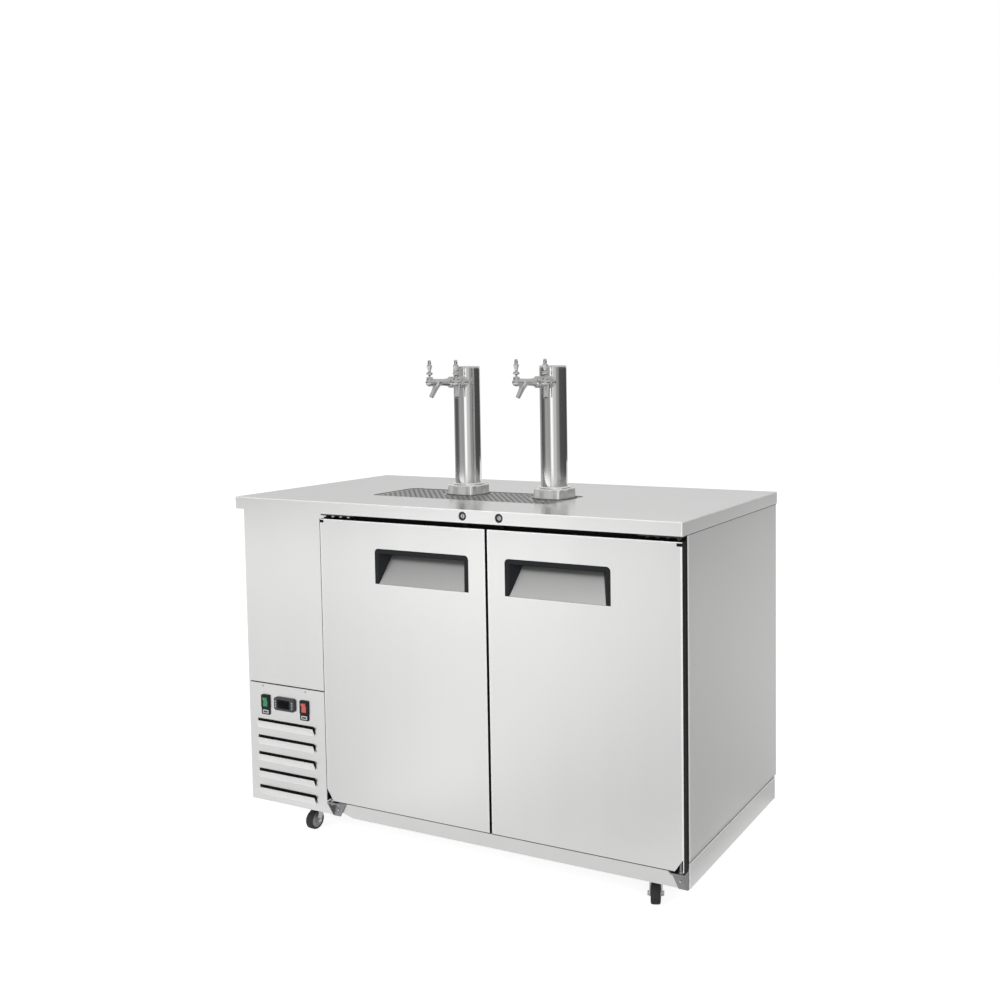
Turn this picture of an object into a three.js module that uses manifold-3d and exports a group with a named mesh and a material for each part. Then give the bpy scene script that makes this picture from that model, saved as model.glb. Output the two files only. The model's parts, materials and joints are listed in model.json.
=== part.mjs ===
// A two-door draft beer cooler with two double-faucet beer towers, as a three.js scene graph.
// Millimetres, +Z up, X along the front, -Y towards the person who pours, Z = 0 on the floor.
import * as THREE from 'three';
import { mergeVertices } from 'three/addons/utils/BufferGeometryUtils.js';
import Module from 'manifold-3d';

const wasm = await Module();
wasm.setup();

// Overall sizes
const width = 1468;
const depth = 714;
const worktopHeight = 1021;
const worktopThickness = 36;
const floorClearance = 84;
const baseFrameHeight = 66;
const sideInset = 3;
const backInset = 3;
const frameBackInset = 20;
const doorStand = 29;
const machineWidth = 322;

// Clearances: touching pieces keep the seat gap, turning ones the running gap, and cuts pass by the overrun
const seat = 0.3;
const running = 0.3;
const overrun = 4;

// Walls of the cabinet
const sideWall = 43;
const dividerWall = 47;
const ceilingWall = 40;
const floorWall = 40;
const backWall = 50;
const mullionWidth = 50;
const mullionDepth = 40;
const machineSheet = 4;
const panelSheet = 1.5;
const panelReturn = 14;

// Doors
const doorThickness = 23;
const doorTopGap = 14;
const railShown = 54;
const doorMiddleGap = 4;
const doorEndGap = 1.5;
const doorPanelGap = 2.5;
const pinInset = 12.5;
const pinSetback = 11;

// Towers and faucets
const towerHeight = 386;
const towerRadius = 40;
const towerPlaces = [-122, 179];
const towerSetback = 337;
const faucetDrop = 48;
const faucetReach = 122;
const faucetSpread = THREE.MathUtils.degToRad(24);
const towerTurn = THREE.MathUtils.degToRad(-4);
const lineHoleRadius = 30;

// Drip tray, recessed in the worktop
const trayLeft = -374;
const trayRight = 253;
const trayFrontInset = 184;
const trayDepth = 211;
const trayRecess = 25;
const trayCorner = 26;
const drainInset = 44;
const drainRadius = 11;

// Casters
const wheelRadius = 28;
const wheelWidth = 26;
const casterTrail = 22;
const casterLeftInset = 199;
const casterRightInset = 128;
const casterFrontInset = 106;
const casterBackInset = 84;

// Planes that several pieces share
const halfWidth = width / 2;
const frontY = -depth / 2;
const backY = depth / 2;
const faceY = frontY + doorStand;
const shellRight = halfWidth - sideInset;
const shellLeft = -shellRight;
const shellBack = backY - backInset;
const frameBack = shellBack - frameBackInset;
const worktopUnder = worktopHeight - worktopThickness;
const shellTop = worktopUnder - seat;
const shellFloor = floorClearance + baseFrameHeight;
const machineRight = -halfWidth + machineWidth;
const doorSpanLeft = machineRight + doorPanelGap;
const doorSpanRight = halfWidth - doorEndGap;
const doorMiddle = (doorSpanLeft + doorSpanRight) / 2;
const doorWidth = (doorSpanRight - doorSpanLeft - doorMiddleGap) / 2;
const doorTop = worktopUnder - doorTopGap;
const doorBottom = floorClearance + railShown;
const pinY = frontY + pinSetback;
const bayLeft = machineRight + dividerWall;
const bayRight = shellRight - sideWall;
const bayTop = worktopUnder - ceilingWall;
const bayFloor = shellFloor + floorWall;
const bayBack = shellBack - backWall;
const towerY = frontY + towerSetback;
const trayFront = frontY + trayFrontInset;
const trayBack = trayFront + trayDepth;
const trayFloor = worktopHeight - trayRecess;
const drainX = trayLeft + drainInset;
const drainY = (trayFront + trayBack) / 2;

// Each caster's kingpin, as x, y and the angle at which the fork rests
const casterLeft = -halfWidth + casterLeftInset;
const casterRight = halfWidth - casterRightInset;
const casterFront = frontY + casterFrontInset;
const casterBack = backY - casterBackInset;
const casterPlaces = {
  front_left: [casterLeft, casterFront, 0],
  front_right: [casterRight, casterFront, THREE.MathUtils.degToRad(22)],
  rear_left: [casterLeft, casterBack, THREE.MathUtils.degToRad(-12)],
  rear_right: [casterRight, casterBack, THREE.MathUtils.degToRad(8)],
};

// Shapes

// A three.js geometry as a solid, with its shared vertices merged and its faces turned outwards.
function solid(geometry) {
  const bare = geometry.clone();
  bare.deleteAttribute('normal');
  bare.deleteAttribute('uv');
  const merged = mergeVertices(bare);
  const index = merged.index.array;
  const corners = [];
  for (let i = 0; i < index.length; i += 3) {
    const [a, b, c] = [index[i], index[i + 1], index[i + 2]];
    if (a !== b && b !== c && c !== a) corners.push(a, b, c);
  }
  const build = (triVerts) =>
    new wasm.Manifold(
      new wasm.Mesh({
        numProp: 3,
        vertProperties: merged.attributes.position.array,
        triVerts: new Uint32Array(triVerts),
      }),
    );
  const made = build(corners);
  return made.volume() > 0 ? made : build(corners.reverse());
}

// A box between two corners, given as a range on each axis.
function block([x0, x1], [y0, y1], [z0, z1]) {
  const box = new THREE.BoxGeometry(Math.abs(x1 - x0), Math.abs(y1 - y0), Math.abs(z1 - z0));
  return solid(box.translate((x0 + x1) / 2, (y0 + y1) / 2, (z0 + z1) / 2));
}

// A cylinder, or a cone where the end radius differs, between two points.
function rod(radius, from, to, sides = 24, endRadius = radius) {
  const start = new THREE.Vector3(...from);
  const along = new THREE.Vector3(...to).sub(start);
  const cylinder = new THREE.CylinderGeometry(endRadius, radius, along.length(), sides);
  cylinder.translate(0, along.length() / 2, 0);
  const upright = new THREE.Vector3(0, 1, 0);
  const turn = new THREE.Quaternion().setFromUnitVectors(upright, along.clone().normalize());
  return solid(cylinder.applyQuaternion(turn).translate(...from));
}

// A profile of [radius, height] points revolved about Z.
function turned(profile, sides = 24) {
  const points = profile.map(([radius, height]) => new THREE.Vector2(radius, height));
  return solid(new THREE.LatheGeometry(points, sides).rotateX(Math.PI / 2));
}

// A ring revolved about Z: a closed section of [radius, height] points off the axis.
function ring(section, sides = 24) {
  return turned([...section, section[0]], sides);
}

// An outline carried along Z, along Y with points as [x, z], or along X with points as [y, z].
function carried(outline, [from, to], axis = 'z') {
  const drawn = (points) => new THREE.Shape(points.map(([u, v]) => new THREE.Vector2(u, v)));
  const shape = outline instanceof THREE.Shape ? outline : drawn(outline);
  const geometry = new THREE.ExtrudeGeometry(shape, {
    depth: to - from,
    bevelEnabled: false,
    curveSegments: 3,
  });
  geometry.translate(0, 0, from);
  const frames = {
    z: new THREE.Matrix4(),
    y: new THREE.Matrix4().set(1, 0, 0, 0, 0, 0, 1, 0, 0, 1, 0, 0, 0, 0, 0, 1),
    x: new THREE.Matrix4().set(0, 0, 1, 0, 1, 0, 0, 0, 0, 1, 0, 0, 0, 0, 0, 1),
  };
  return solid(geometry.applyMatrix4(frames[axis]));
}

// A rectangle with rounded corners, as a shape between two corners.
function rounded([u0, u1], [v0, v1], radius) {
  const shape = new THREE.Shape();
  shape.moveTo(u0 + radius, v0);
  shape.lineTo(u1 - radius, v0);
  shape.absarc(u1 - radius, v0 + radius, radius, -Math.PI / 2, 0);
  shape.lineTo(u1, v1 - radius);
  shape.absarc(u1 - radius, v1 - radius, radius, 0, Math.PI / 2);
  shape.lineTo(u0 + radius, v1);
  shape.absarc(u0 + radius, v1 - radius, radius, Math.PI / 2, Math.PI);
  shape.lineTo(u0, v0 + radius);
  shape.absarc(u0 + radius, v0 + radius, radius, Math.PI, Math.PI * 1.5);
  return shape;
}

// A round tube along a smooth curve through points.
function tube(points, radius, steps, sides = 8) {
  const curve = new THREE.CatmullRomCurve3(points.map((point) => new THREE.Vector3(...point)));
  const section = new THREE.Shape();
  for (let i = 0; i < sides; i += 1) {
    const angle = (i / sides) * 2 * Math.PI;
    const [u, v] = [radius * Math.cos(angle), radius * Math.sin(angle)];
    if (i === 0) section.moveTo(u, v);
    else section.lineTo(u, v);
  }
  return solid(new THREE.ExtrudeGeometry(section, { steps, extrudePath: curve }));
}

const join = (first, ...rest) => rest.reduce((whole, piece) => whole.add(piece), first);
const cut = (first, ...rest) => rest.reduce((whole, piece) => whole.subtract(piece), first);

// A solid as a named mesh of its own material, in the group that carries it.
function part(name, shape, look, group) {
  const { vertProperties, triVerts } = shape.getMesh();
  const geometry = new THREE.BufferGeometry();
  geometry.setAttribute('position', new THREE.BufferAttribute(vertProperties, 3));
  geometry.setIndex(new THREE.BufferAttribute(triVerts, 1));
  geometry.computeVertexNormals();
  const mesh = new THREE.Mesh(geometry, new THREE.MeshStandardMaterial(look));
  mesh.name = name;
  group.add(mesh);
  return mesh;
}

const steel = { color: 0xc9c9c7, roughness: 0.35, metalness: 0.9 };
const polished = { color: 0xd4d4d2, roughness: 0.12, metalness: 1 };
const galvanised = { color: 0xa9adaf, roughness: 0.55, metalness: 0.8 };
const liner = { color: 0xd8dadb, roughness: 0.5, metalness: 0.3 };
const blackPlastic = { color: 0x141415, roughness: 0.45, metalness: 0 };
const blackPaint = { color: 0x1d1e20, roughness: 0.6, metalness: 0.2 };
const rubber = { color: 0x1a1a1a, roughness: 0.85, metalness: 0 };
const copper = { color: 0xb06a3c, roughness: 0.4, metalness: 0.9 };
const greenLens = { color: 0x1f9a4a, roughness: 0.25, metalness: 0 };
const redLens = { color: 0xcf3a2c, roughness: 0.25, metalness: 0 };

const cooler = new THREE.Group();

// Cabinet

// The foamed cold box with its mullion, and the sheet-metal machine compartment at its left.
function cabinetShell() {
  const bottom = shellFloor + seat;
  const machineFront = faceY + panelReturn + seat;
  const coldBox = cut(
    block([machineRight, shellRight], [faceY, shellBack], [bottom, shellTop]),
    block([bayLeft, bayRight], [faceY - overrun, bayBack], [bayFloor, bayTop]),
  );
  const mullion = block(
    [doorMiddle - mullionWidth / 2, doorMiddle + mullionWidth / 2],
    [faceY, faceY + mullionDepth],
    [bayFloor - overrun, bayTop + overrun],
  );
  const machineX = [shellLeft, machineRight + overrun];
  const machineY = [machineFront, shellBack];
  const machineDeck = block(machineX, machineY, [bottom, bottom + machineSheet]);
  const machineRoof = block(machineX, machineY, [shellTop - machineSheet, shellTop]);
  const machineSide = block([shellLeft, shellLeft + machineSheet], machineY, [bottom, shellTop]);
  const holes = towerPlaces.map((x) =>
    rod(lineHoleRadius, [x, towerY, bayTop - overrun], [x, towerY, shellTop + overrun], 12),
  );
  const drainTop = [drainX, drainY, shellTop + overrun];
  const drainHole = rod(drainRadius + seat, [drainX, drainY, bayTop - overrun], drainTop, 10);
  return cut(join(coldBox, mullion, machineDeck, machineRoof, machineSide), ...holes, drainHole);
}

// The welded base frame: four rails, a cross rail under the divider, caster plates and their kingpins
const frontRail = 116;
const sideRail = 40;
const crossRail = 50;
const machineRailSetback = 18;
const railNotchLength = 70;
const railNotchHeight = 20;
const railNotchDepth = 20;
const casterPlateWidth = 64;
const casterPlateThickness = 3;
const kingpinRadius = 5;
const kingpinHeadRadius = 9;
const kingpinHead = 3;
const forkCrown = 6;
const forkCrownDrop = 6;
const crownTop = floorClearance - casterPlateThickness - forkCrownDrop;
const crownUnder = crownTop - forkCrown;

function baseFrame() {
  const outer = block([-halfWidth, halfWidth], [faceY, frameBack], [floorClearance, shellFloor]);
  const heights = [floorClearance - overrun, shellFloor + overrun];
  const crossLeft = machineRight - crossRail / 2;
  const crossRight = machineRight + crossRail / 2;
  const wellY = [faceY + frontRail, frameBack - frontRail];
  const machineWell = block([-halfWidth + sideRail, crossLeft], wellY, heights);
  const coldWell = block([crossRight, halfWidth - sideRail], wellY, heights);
  const panelY = [faceY - overrun, faceY + machineRailSetback];
  const panelSpace = block([-halfWidth - overrun, machineRight + seat], panelY, heights);
  const notch = carried(
    [
      [machineRight, floorClearance - overrun],
      [doorSpanLeft + railNotchLength, floorClearance - overrun],
      [doorSpanLeft + railNotchLength, floorClearance],
      [doorSpanLeft, floorClearance + railNotchHeight],
      [machineRight, floorClearance + railNotchHeight],
    ],
    [faceY - overrun, faceY + railNotchDepth],
    'y',
  );
  const mounts = Object.values(casterPlaces).flatMap(([x, y]) => [
    block(
      [x - casterPlateWidth / 2, x + casterPlateWidth / 2],
      [y - casterPlateWidth / 2, y + casterPlateWidth / 2],
      [floorClearance - casterPlateThickness, floorClearance + overrun],
    ),
    rod(kingpinRadius, [x, y, crownUnder - running], [x, y, floorClearance], 10),
    rod(kingpinHeadRadius, [x, y, crownUnder - running - kingpinHead], [x, y, crownUnder - running], 10),
  ]);
  return join(cut(outer, machineWell, coldWell, panelSpace, notch), ...mounts);
}

// Front of the worktop: where the two cam locks sit
const lockOffsets = [-74, 42];
const lockDrop = 18;
const lockRadius = 8.7;
const lockBezelRadius = 12.2;
const lockBezel = 2.5;
const lockBearing = 8;
const camThickness = 3;
const camLength = 28;
const camWidth = 12;
const camPlay = 1.5;
const camBack = lockBearing + camPlay + camThickness;
const lockZ = worktopHeight - lockDrop;
const lockPlaces = lockOffsets.map((offset) => doorMiddle + offset);
const edgeRound = 2;

// The worktop: folded steel round a core, with the tray recess, line holes, drain hole and lock pockets.
function worktop() {
  const slab = carried(
    rounded([-halfWidth, halfWidth], [frontY, backY], edgeRound),
    [worktopUnder, worktopHeight],
  );
  const recess = carried(
    rounded([trayLeft, trayRight], [trayFront, trayBack], trayCorner),
    [trayFloor - seat, worktopHeight + overrun],
  );
  const through = [worktopUnder - overrun, worktopHeight + overrun];
  const bore = (radius, x, y, sides) => rod(radius, [x, y, through[0]], [x, y, through[1]], sides);
  const holes = towerPlaces.map((x) => bore(lineHoleRadius, x, towerY, 10));
  const drain = bore(drainRadius + seat, drainX, drainY, 10);
  const bezelBack = frontY + lockBezel + running;
  const locks = lockPlaces.flatMap((x) => [
    rod(lockRadius + running, [x, frontY - overrun, lockZ], [x, frontY + camBack, lockZ], 16),
    rod(lockBezelRadius + running, [x, frontY - overrun, lockZ], [x, bezelBack, lockZ], 16),
    block(
      [x - camLength - camPlay, x + camWidth / 2 + camPlay],
      [frontY + lockBearing, frontY + camBack + camPlay],
      [worktopUnder - overrun, lockZ + camWidth / 2 + camPlay],
    ),
  ]);
  return cut(slab, recess, ...holes, drain, ...locks);
}

// A folded panel: a front sheet with its four edges returned to the rear.
function foldedPanel([x0, x1], [z0, z1]) {
  const hollowY = [faceY + panelSheet, faceY + panelReturn + overrun];
  return cut(
    block([x0, x1], [faceY, faceY + panelReturn], [z0, z1]),
    block([x0 + panelSheet, x1 - panelSheet], hollowY, [z0 + panelSheet, z1 - panelSheet]),
  );
}

const panelSeamZ = 451;
const panelSeam = 3;
const panelSpan = [shellLeft, machineRight - seat];

// Lower left panel: five louvres lanced outwards, hinged at their lower edge
const louvreCount = 5;
const louvreTop = 334;
const louvrePitch = 52;
const louvreLength = 222;
const louvreHeight = 24;
const louvreInset = 32;
const louvreLean = 9;
const louvreBend = 2;

// Controls in the lower left panel
const controlZ = 394;
const controllerInset = 103;
const controllerWidth = 80;
const controllerHeight = 40;
const controllerCorner = 7;
const controllerBezel = 7;
const controllerBody = 44;
const controllerBodyInset = 4;
const switchInsets = [50, 202];
const switchWidth = 33;
const switchHeight = 42;
const switchCorner = 4;
const switchBezel = 4;
const switchBody = 24;
const switchBodyInset = 4;
const labelHeight = 19;
const labelThickness = 2.5;

function louvrePlace(index) {
  return {
    x: [shellLeft + louvreInset, shellLeft + louvreInset + louvreLength],
    top: louvreTop - index * louvrePitch,
    bottom: louvreTop - index * louvrePitch - louvreHeight,
  };
}

function controlPanel() {
  const sheet = foldedPanel(panelSpan, [floorClearance, panelSeamZ - panelSeam / 2]);
  const windows = [];
  const flaps = [];
  for (let i = 0; i < louvreCount; i += 1) {
    const { x, top, bottom } = louvrePlace(i);
    windows.push(block(x, [faceY - overrun, faceY + panelSheet + overrun / 2], [bottom, top]));
    flaps.push(
      carried(
        [
          [faceY + panelSheet, bottom - louvreBend],
          [faceY + panelSheet, bottom],
          [faceY + panelSheet - louvreLean, top],
          [faceY - louvreLean, top],
          [faceY, bottom],
          [faceY, bottom - louvreBend],
        ],
        x,
        'x',
      ),
    );
  }
  const [from, to] = [faceY - overrun, faceY + panelSheet + overrun / 2];
  const controllerX = shellLeft + controllerInset;
  const controllerHole = block(
    [controllerX + controllerBodyInset - seat, controllerX + controllerWidth - controllerBodyInset + seat],
    [from, to],
    [
      controlZ - controllerHeight / 2 + controllerBodyInset - seat,
      controlZ + controllerHeight / 2 - controllerBodyInset + seat,
    ],
  );
  const switchHoles = switchInsets.map((inset) =>
    block(
      [shellLeft + inset + switchBodyInset - seat, shellLeft + inset + switchWidth - switchBodyInset + seat],
      [from, to],
      [
        controlZ - switchHeight / 2 + switchBodyInset - seat,
        controlZ + switchHeight / 2 - switchBodyInset + seat,
      ],
    ),
  );
  return join(cut(sheet, ...windows, controllerHole, ...switchHoles), ...flaps);
}

part('cabinet_shell', cabinetShell(), steel, cooler);
part('base_frame', baseFrame(), steel, cooler);
part('worktop', worktop(), steel, cooler);
part('upper_left_panel', foldedPanel(panelSpan, [panelSeamZ + panelSeam / 2, shellTop]), steel, cooler);
part('control_panel', controlPanel(), steel, cooler);

// The digital controller: bezel, body through the panel, a recessed display and two sprung key pads.
const keyWidth = 7;
const keyHeight = 24;
const keyInset = 4.5;
const keyProud = 1;
const keyTravel = 1;
const keyLength = 3.4;
const displayWidth = 50;
const displayHeight = 28;
const displayRecess = 1.2;
const panelFront = faceY - seat;
const bezelFront = panelFront - controllerBezel;

function keyPlaces() {
  const left = shellLeft + controllerInset;
  return [
    [left + keyInset, left + keyInset + keyWidth],
    [left + controllerWidth - keyInset - keyWidth, left + controllerWidth - keyInset],
  ];
}

function controller() {
  const left = shellLeft + controllerInset;
  const right = left + controllerWidth;
  const [bottom, top] = [controlZ - controllerHeight / 2, controlZ + controllerHeight / 2];
  const middle = (left + right) / 2;
  const face = rounded([left, right], [bottom, top], controllerCorner);
  const bezel = carried(face, [bezelFront, panelFront], 'y');
  const body = block(
    [left + controllerBodyInset, right - controllerBodyInset],
    [bezelFront + controllerBezel / 2, faceY + controllerBody],
    [bottom + controllerBodyInset, top - controllerBodyInset],
  );
  const display = block(
    [middle - displayWidth / 2, middle + displayWidth / 2],
    [bezelFront - overrun, bezelFront + displayRecess],
    [controlZ - displayHeight / 2, controlZ + displayHeight / 2],
  );
  const wells = keyPlaces().map(([x0, x1]) =>
    block(
      [x0 - running, x1 + running],
      [bezelFront - overrun, bezelFront + keyLength + keyTravel],
      [controlZ - keyHeight / 2 - running, controlZ + keyHeight / 2 + running],
    ),
  );
  return cut(join(bezel, body), display, ...wells);
}

part('controller', controller(), blackPlastic, cooler);
keyPlaces().forEach(([x0, x1], index) => {
  const [z0, z1] = [controlZ - keyHeight / 2, controlZ + keyHeight / 2];
  const keyFront = bezelFront - keyProud;
  const key = block([x0, x1], [keyFront, keyFront + keyLength], [z0, z1]);
  part(['controller_key_left', 'controller_key_right'][index], key, blackPlastic, cooler);
});

// Rocker switches: a moulded housing with its label plate, and a rocker on trunnions.
const rockerWidth = 17;
const rockerHeight = 27;
const rockerRise = 3;
const rockerDip = 9;
const rockerRelief = 2.2;
const rockerTilt = THREE.MathUtils.degToRad(7);
const trunnionRadius = 2;
const trunnionLength = 2;
const rockerWall = 1.2;

function switchHousing(inset) {
  const left = shellLeft + inset;
  const right = left + switchWidth;
  const middle = (left + right) / 2;
  const [bottom, top] = [controlZ - switchHeight / 2, controlZ + switchHeight / 2];
  const front = panelFront - switchBezel;
  const face = rounded([left, right], [bottom, top], switchCorner);
  const bezel = carried(face, [front, panelFront], 'y');
  const label = carried(
    rounded([left, right], [bottom - labelHeight, bottom + switchCorner], switchCorner),
    [panelFront - labelThickness, panelFront],
    'y',
  );
  const body = block(
    [left + switchBodyInset, right - switchBodyInset],
    [front + switchBezel / 2, faceY + switchBody],
    [bottom + switchBodyInset, top - switchBodyInset],
  );
  const well = block(
    [middle - rockerWidth / 2 - rockerWall, middle + rockerWidth / 2 + rockerWall],
    [front - overrun, front + rockerDip + rockerWall],
    [controlZ - rockerHeight / 2 - rockerWall, controlZ + rockerHeight / 2 + rockerWall],
  );
  const reach = rockerWidth / 2 + rockerWall + trunnionLength;
  const bearing = block(
    [middle - reach, middle + reach],
    [front - overrun, front + rockerDip / 2 + trunnionRadius + running],
    [controlZ - trunnionRadius - running, controlZ + trunnionRadius + running],
  );
  return cut(join(bezel, label, body), well, bearing);
}

function rocker() {
  const half = rockerHeight / 2;
  const roof = carried(
    [
      [rockerDip / 2 - rockerRelief, -half],
      [rockerDip / 2, 0],
      [rockerDip / 2 - rockerRelief, half],
      [-rockerDip / 2 - rockerRise, half],
      [-rockerDip / 2, 0],
      [-rockerDip / 2 - rockerRise, -half],
    ],
    [-rockerWidth / 2, rockerWidth / 2],
    'x',
  );
  const reach = rockerWidth / 2 + rockerWall + trunnionLength - running;
  return join(roof, rod(trunnionRadius, [-reach, 0, 0], [reach, 0, 0], 12));
}

['green', 'red'].forEach((colour, index) => {
  const inset = switchInsets[index];
  part(`${colour}_switch_housing`, switchHousing(inset), blackPlastic, cooler);
  const pivot = new THREE.Group();
  pivot.position.set(shellLeft + inset + switchWidth / 2, panelFront - switchBezel + rockerDip / 2, controlZ);
  pivot.rotation.x = rockerTilt;
  cooler.add(pivot);
  part(`${colour}_switch_rocker`, rocker(), [greenLens, redLens][index], pivot);
});

// Machine compartment

// A fan: a hub with pitched blades, turning about Z, its back at Z = 0.
function fan(tipRadius, hubRadius, thickness, shaftRadius, bladeCount) {
  const chordShare = 0.42;
  const boreShare = 0.92;
  const sheetShare = 0.11;
  const bladeSheet = thickness * sheetShare;
  const pitch = THREE.MathUtils.degToRad(32);
  const blades = [];
  for (let i = 0; i < bladeCount; i += 1) {
    const blade = new THREE.BoxGeometry(tipRadius - hubRadius / 2, tipRadius * chordShare, bladeSheet);
    blade.rotateX(pitch).translate(hubRadius / 2 + (tipRadius - hubRadius / 2) / 2, 0, thickness / 2);
    blades.push(solid(blade.rotateZ((i / bladeCount) * 2 * Math.PI)));
  }
  const rim = rod(tipRadius, [0, 0, 0], [0, 0, thickness], 16);
  const hub = rod(hubRadius, [0, 0, 0], [0, 0, thickness], 10);
  const bore = rod(shaftRadius + running, [0, 0, -overrun], [0, 0, thickness * boreShare], 10);
  return cut(join(hub, ...blades).intersect(rim), bore);
}

// A shrouded coil: finned block, fan ring and the motor carried behind the ring on four arms, air along Z.
function coilWithMotor(coil, fanSize) {
  const { wide, high, thick, fins, finCut } = coil;
  const core = block([-wide / 2, wide / 2], [-high / 2, high / 2], [0, thick]);
  const grooves = [];
  for (let i = 1; i < fins; i += 1) {
    const x = -wide / 2 + (i * wide) / fins;
    const span = [-high / 2 + finCut * 2, high / 2 - finCut * 2];
    grooves.push(block([x - finCut / 2, x + finCut / 2], span, [-overrun, thick / 2]));
  }
  const { radius, duct, gapToMotor, motorRadius, motorLength, shaftRadius, shaftLength, arm } = fanSize;
  const shroud = cut(
    block([-wide / 2, wide / 2], [-high / 2, high / 2], [thick, thick + duct]),
    rod(radius, [0, 0, thick + arm], [0, 0, thick + duct + overrun], 16),
  );
  const motorZ = thick + duct + gapToMotor;
  const motor = rod(motorRadius, [0, 0, motorZ], [0, 0, motorZ + motorLength], 12);
  const shaft = rod(shaftRadius, [0, 0, motorZ - shaftLength], [0, 0, motorZ + overrun], 10);
  const reach = radius + arm / 2;
  const spider = [0, 1].flatMap((turn) => {
    const bar = turn
      ? block([-arm / 2, arm / 2], [-reach, reach], [motorZ, motorZ + arm])
      : block([-reach, reach], [-arm / 2, arm / 2], [motorZ, motorZ + arm]);
    const feet = [-1, 1].map((side) => {
      const place = side * reach;
      const across = [-arm / 2, arm / 2];
      const along = [place - arm / 2, place + arm / 2];
      const heights = [thick + duct - overrun, motorZ + arm];
      return turn ? block(across, along, heights) : block(along, across, heights);
    });
    return [bar, ...feet];
  });
  return join(cut(core, ...grooves), shroud, motor, shaft, ...spider);
}

// The distance from the coil's front face to the back of the fan hub on the motor's shaft.
function fanPlace(coil, fanSize) {
  return coil.thick + fanSize.duct + fanSize.gapToMotor - seat;
}

const condenserCoil = { wide: 260, high: 250, thick: 44, fins: 8, finCut: 8 };
const condenserFan = {
  radius: 100,
  duct: 26,
  gapToMotor: 12,
  motorRadius: 36,
  motorLength: 56,
  shaftRadius: 4,
  shaftLength: 16,
  arm: 8,
};
const condenserSetback = 60;
const evaporatorCoil = { wide: 280, high: 210, thick: 40, fins: 8, finCut: 7 };
const evaporatorFan = {
  radius: 84,
  duct: 24,
  gapToMotor: 10,
  motorRadius: 26,
  motorLength: 18,
  shaftRadius: 3,
  shaftLength: 14,
  arm: 7,
};
const evaporatorDrop = 60;
const evaporatorY = 60;
const fanTipGap = 6;
const fanHubShare = 0.26;
const fanThickness = 18;
const fanBlades = 5;

function placedUnit(names, coil, fanSize, position, rotation, looks) {
  const unit = new THREE.Group();
  unit.position.set(...position);
  unit.rotation.set(...rotation);
  cooler.add(unit);
  part(names[0], coilWithMotor(coil, fanSize), looks[0], unit);
  const wheel = new THREE.Group();
  wheel.position.z = fanPlace(coil, fanSize);
  wheel.rotation.x = Math.PI;
  unit.add(wheel);
  const hubRadius = fanSize.radius * fanHubShare;
  const tipRadius = fanSize.radius - fanTipGap;
  part(names[1], fan(tipRadius, hubRadius, fanThickness, fanSize.shaftRadius, fanBlades), looks[1], wheel);
}

const machineDeckTop = shellFloor + seat + machineSheet;
const machineMiddle = (shellLeft + machineSheet + machineRight) / 2;
placedUnit(
  ['condenser', 'condenser_fan'],
  condenserCoil,
  condenserFan,
  [machineMiddle, faceY + condenserSetback, machineDeckTop + seat + condenserCoil.high / 2],
  [-Math.PI / 2, 0, 0],
  [galvanised, blackPaint],
);
placedUnit(
  ['evaporator', 'evaporator_fan'],
  evaporatorCoil,
  evaporatorFan,
  [bayLeft + seat, evaporatorY, bayTop - evaporatorDrop - evaporatorCoil.high / 2],
  [Math.PI / 2, Math.PI / 2, 0],
  [galvanised, blackPlastic],
);

// Hermetic compressor: domed can on a footed plate, terminal box, and discharge pipe to the condenser.
const canRadius = 82;
const canHeight = 190;
const canPlate = 6;
const canPlateSpan = 190;
const canFoot = 12;
const canFootRadius = 12;
const compressorY = 130;
const pipeRadius = 5;
const boxDepth = 34;
const boxWidth = 70;
const crownShare = 0.62;
const pipeStartShare = 0.72;

function compressor() {
  const profile = [[0, 0]];
  const steps = 3;
  const bulge = canRadius / 4;
  for (let i = 0; i <= steps; i += 1) {
    const angle = (i / steps) * (Math.PI / 2);
    profile.push([canRadius - bulge + bulge * Math.sin(angle), bulge - bulge * Math.cos(angle)]);
  }
  const crown = canRadius * crownShare;
  for (let i = 0; i <= steps; i += 1) {
    const angle = (i / steps) * (Math.PI / 2);
    profile.push([canRadius * Math.cos(angle), canHeight - crown + crown * Math.sin(angle)]);
  }
  const can = turned(profile, 14).translate([0, 0, canFoot + canPlate / 2]);
  const half = canPlateSpan / 2;
  const plate = block([-half, half], [-half, half], [canFoot, canFoot + canPlate]);
  const feet = [[-1, -1], [-1, 1], [1, -1], [1, 1]].map(([sx, sy]) => {
    const [x, y] = [sx * (half - canFootRadius), sy * (half - canFootRadius)];
    return rod(canFootRadius, [x, y, 0], [x, y, canFoot + canPlate / 2], 8);
  });
  const box = block(
    [-boxWidth / 2, boxWidth / 2],
    [canRadius - boxDepth, canRadius + boxDepth],
    [canHeight / 2 - boxWidth / 2, canHeight / 2 + boxWidth / 2],
  );
  const start = canHeight * pipeStartShare;
  const rise = canHeight + canRadius / 2;
  const pipe = tube(
    [
      [-canRadius / 2, -canRadius / 2, start],
      [-canRadius / 2, -canRadius, start + pipeRadius],
      [-canRadius / 2, -canRadius - pipeRadius * 4, start + canRadius / 2],
      [-canRadius / 2, -canRadius - pipeRadius * 4, rise],
    ],
    pipeRadius,
    8,
    6,
  );
  return join(can, plate, ...feet, box, pipe);
}

const compressorGroup = new THREE.Group();
compressorGroup.position.set(machineMiddle, compressorY, machineDeckTop + seat);
cooler.add(compressorGroup);
part('compressor', compressor(), blackPaint, compressorGroup);

// The rear grille, a folded cover with rows of slots and the round inlet for the supply lead.
const rearSlotRows = 12;
const rearSlotPitch = 46;
const rearSlotHeight = 8;
const rearSlotMargin = 36;
const rearSlotStart = 110;
const inletRadius = 11;
const inletDrop = 60;

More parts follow.
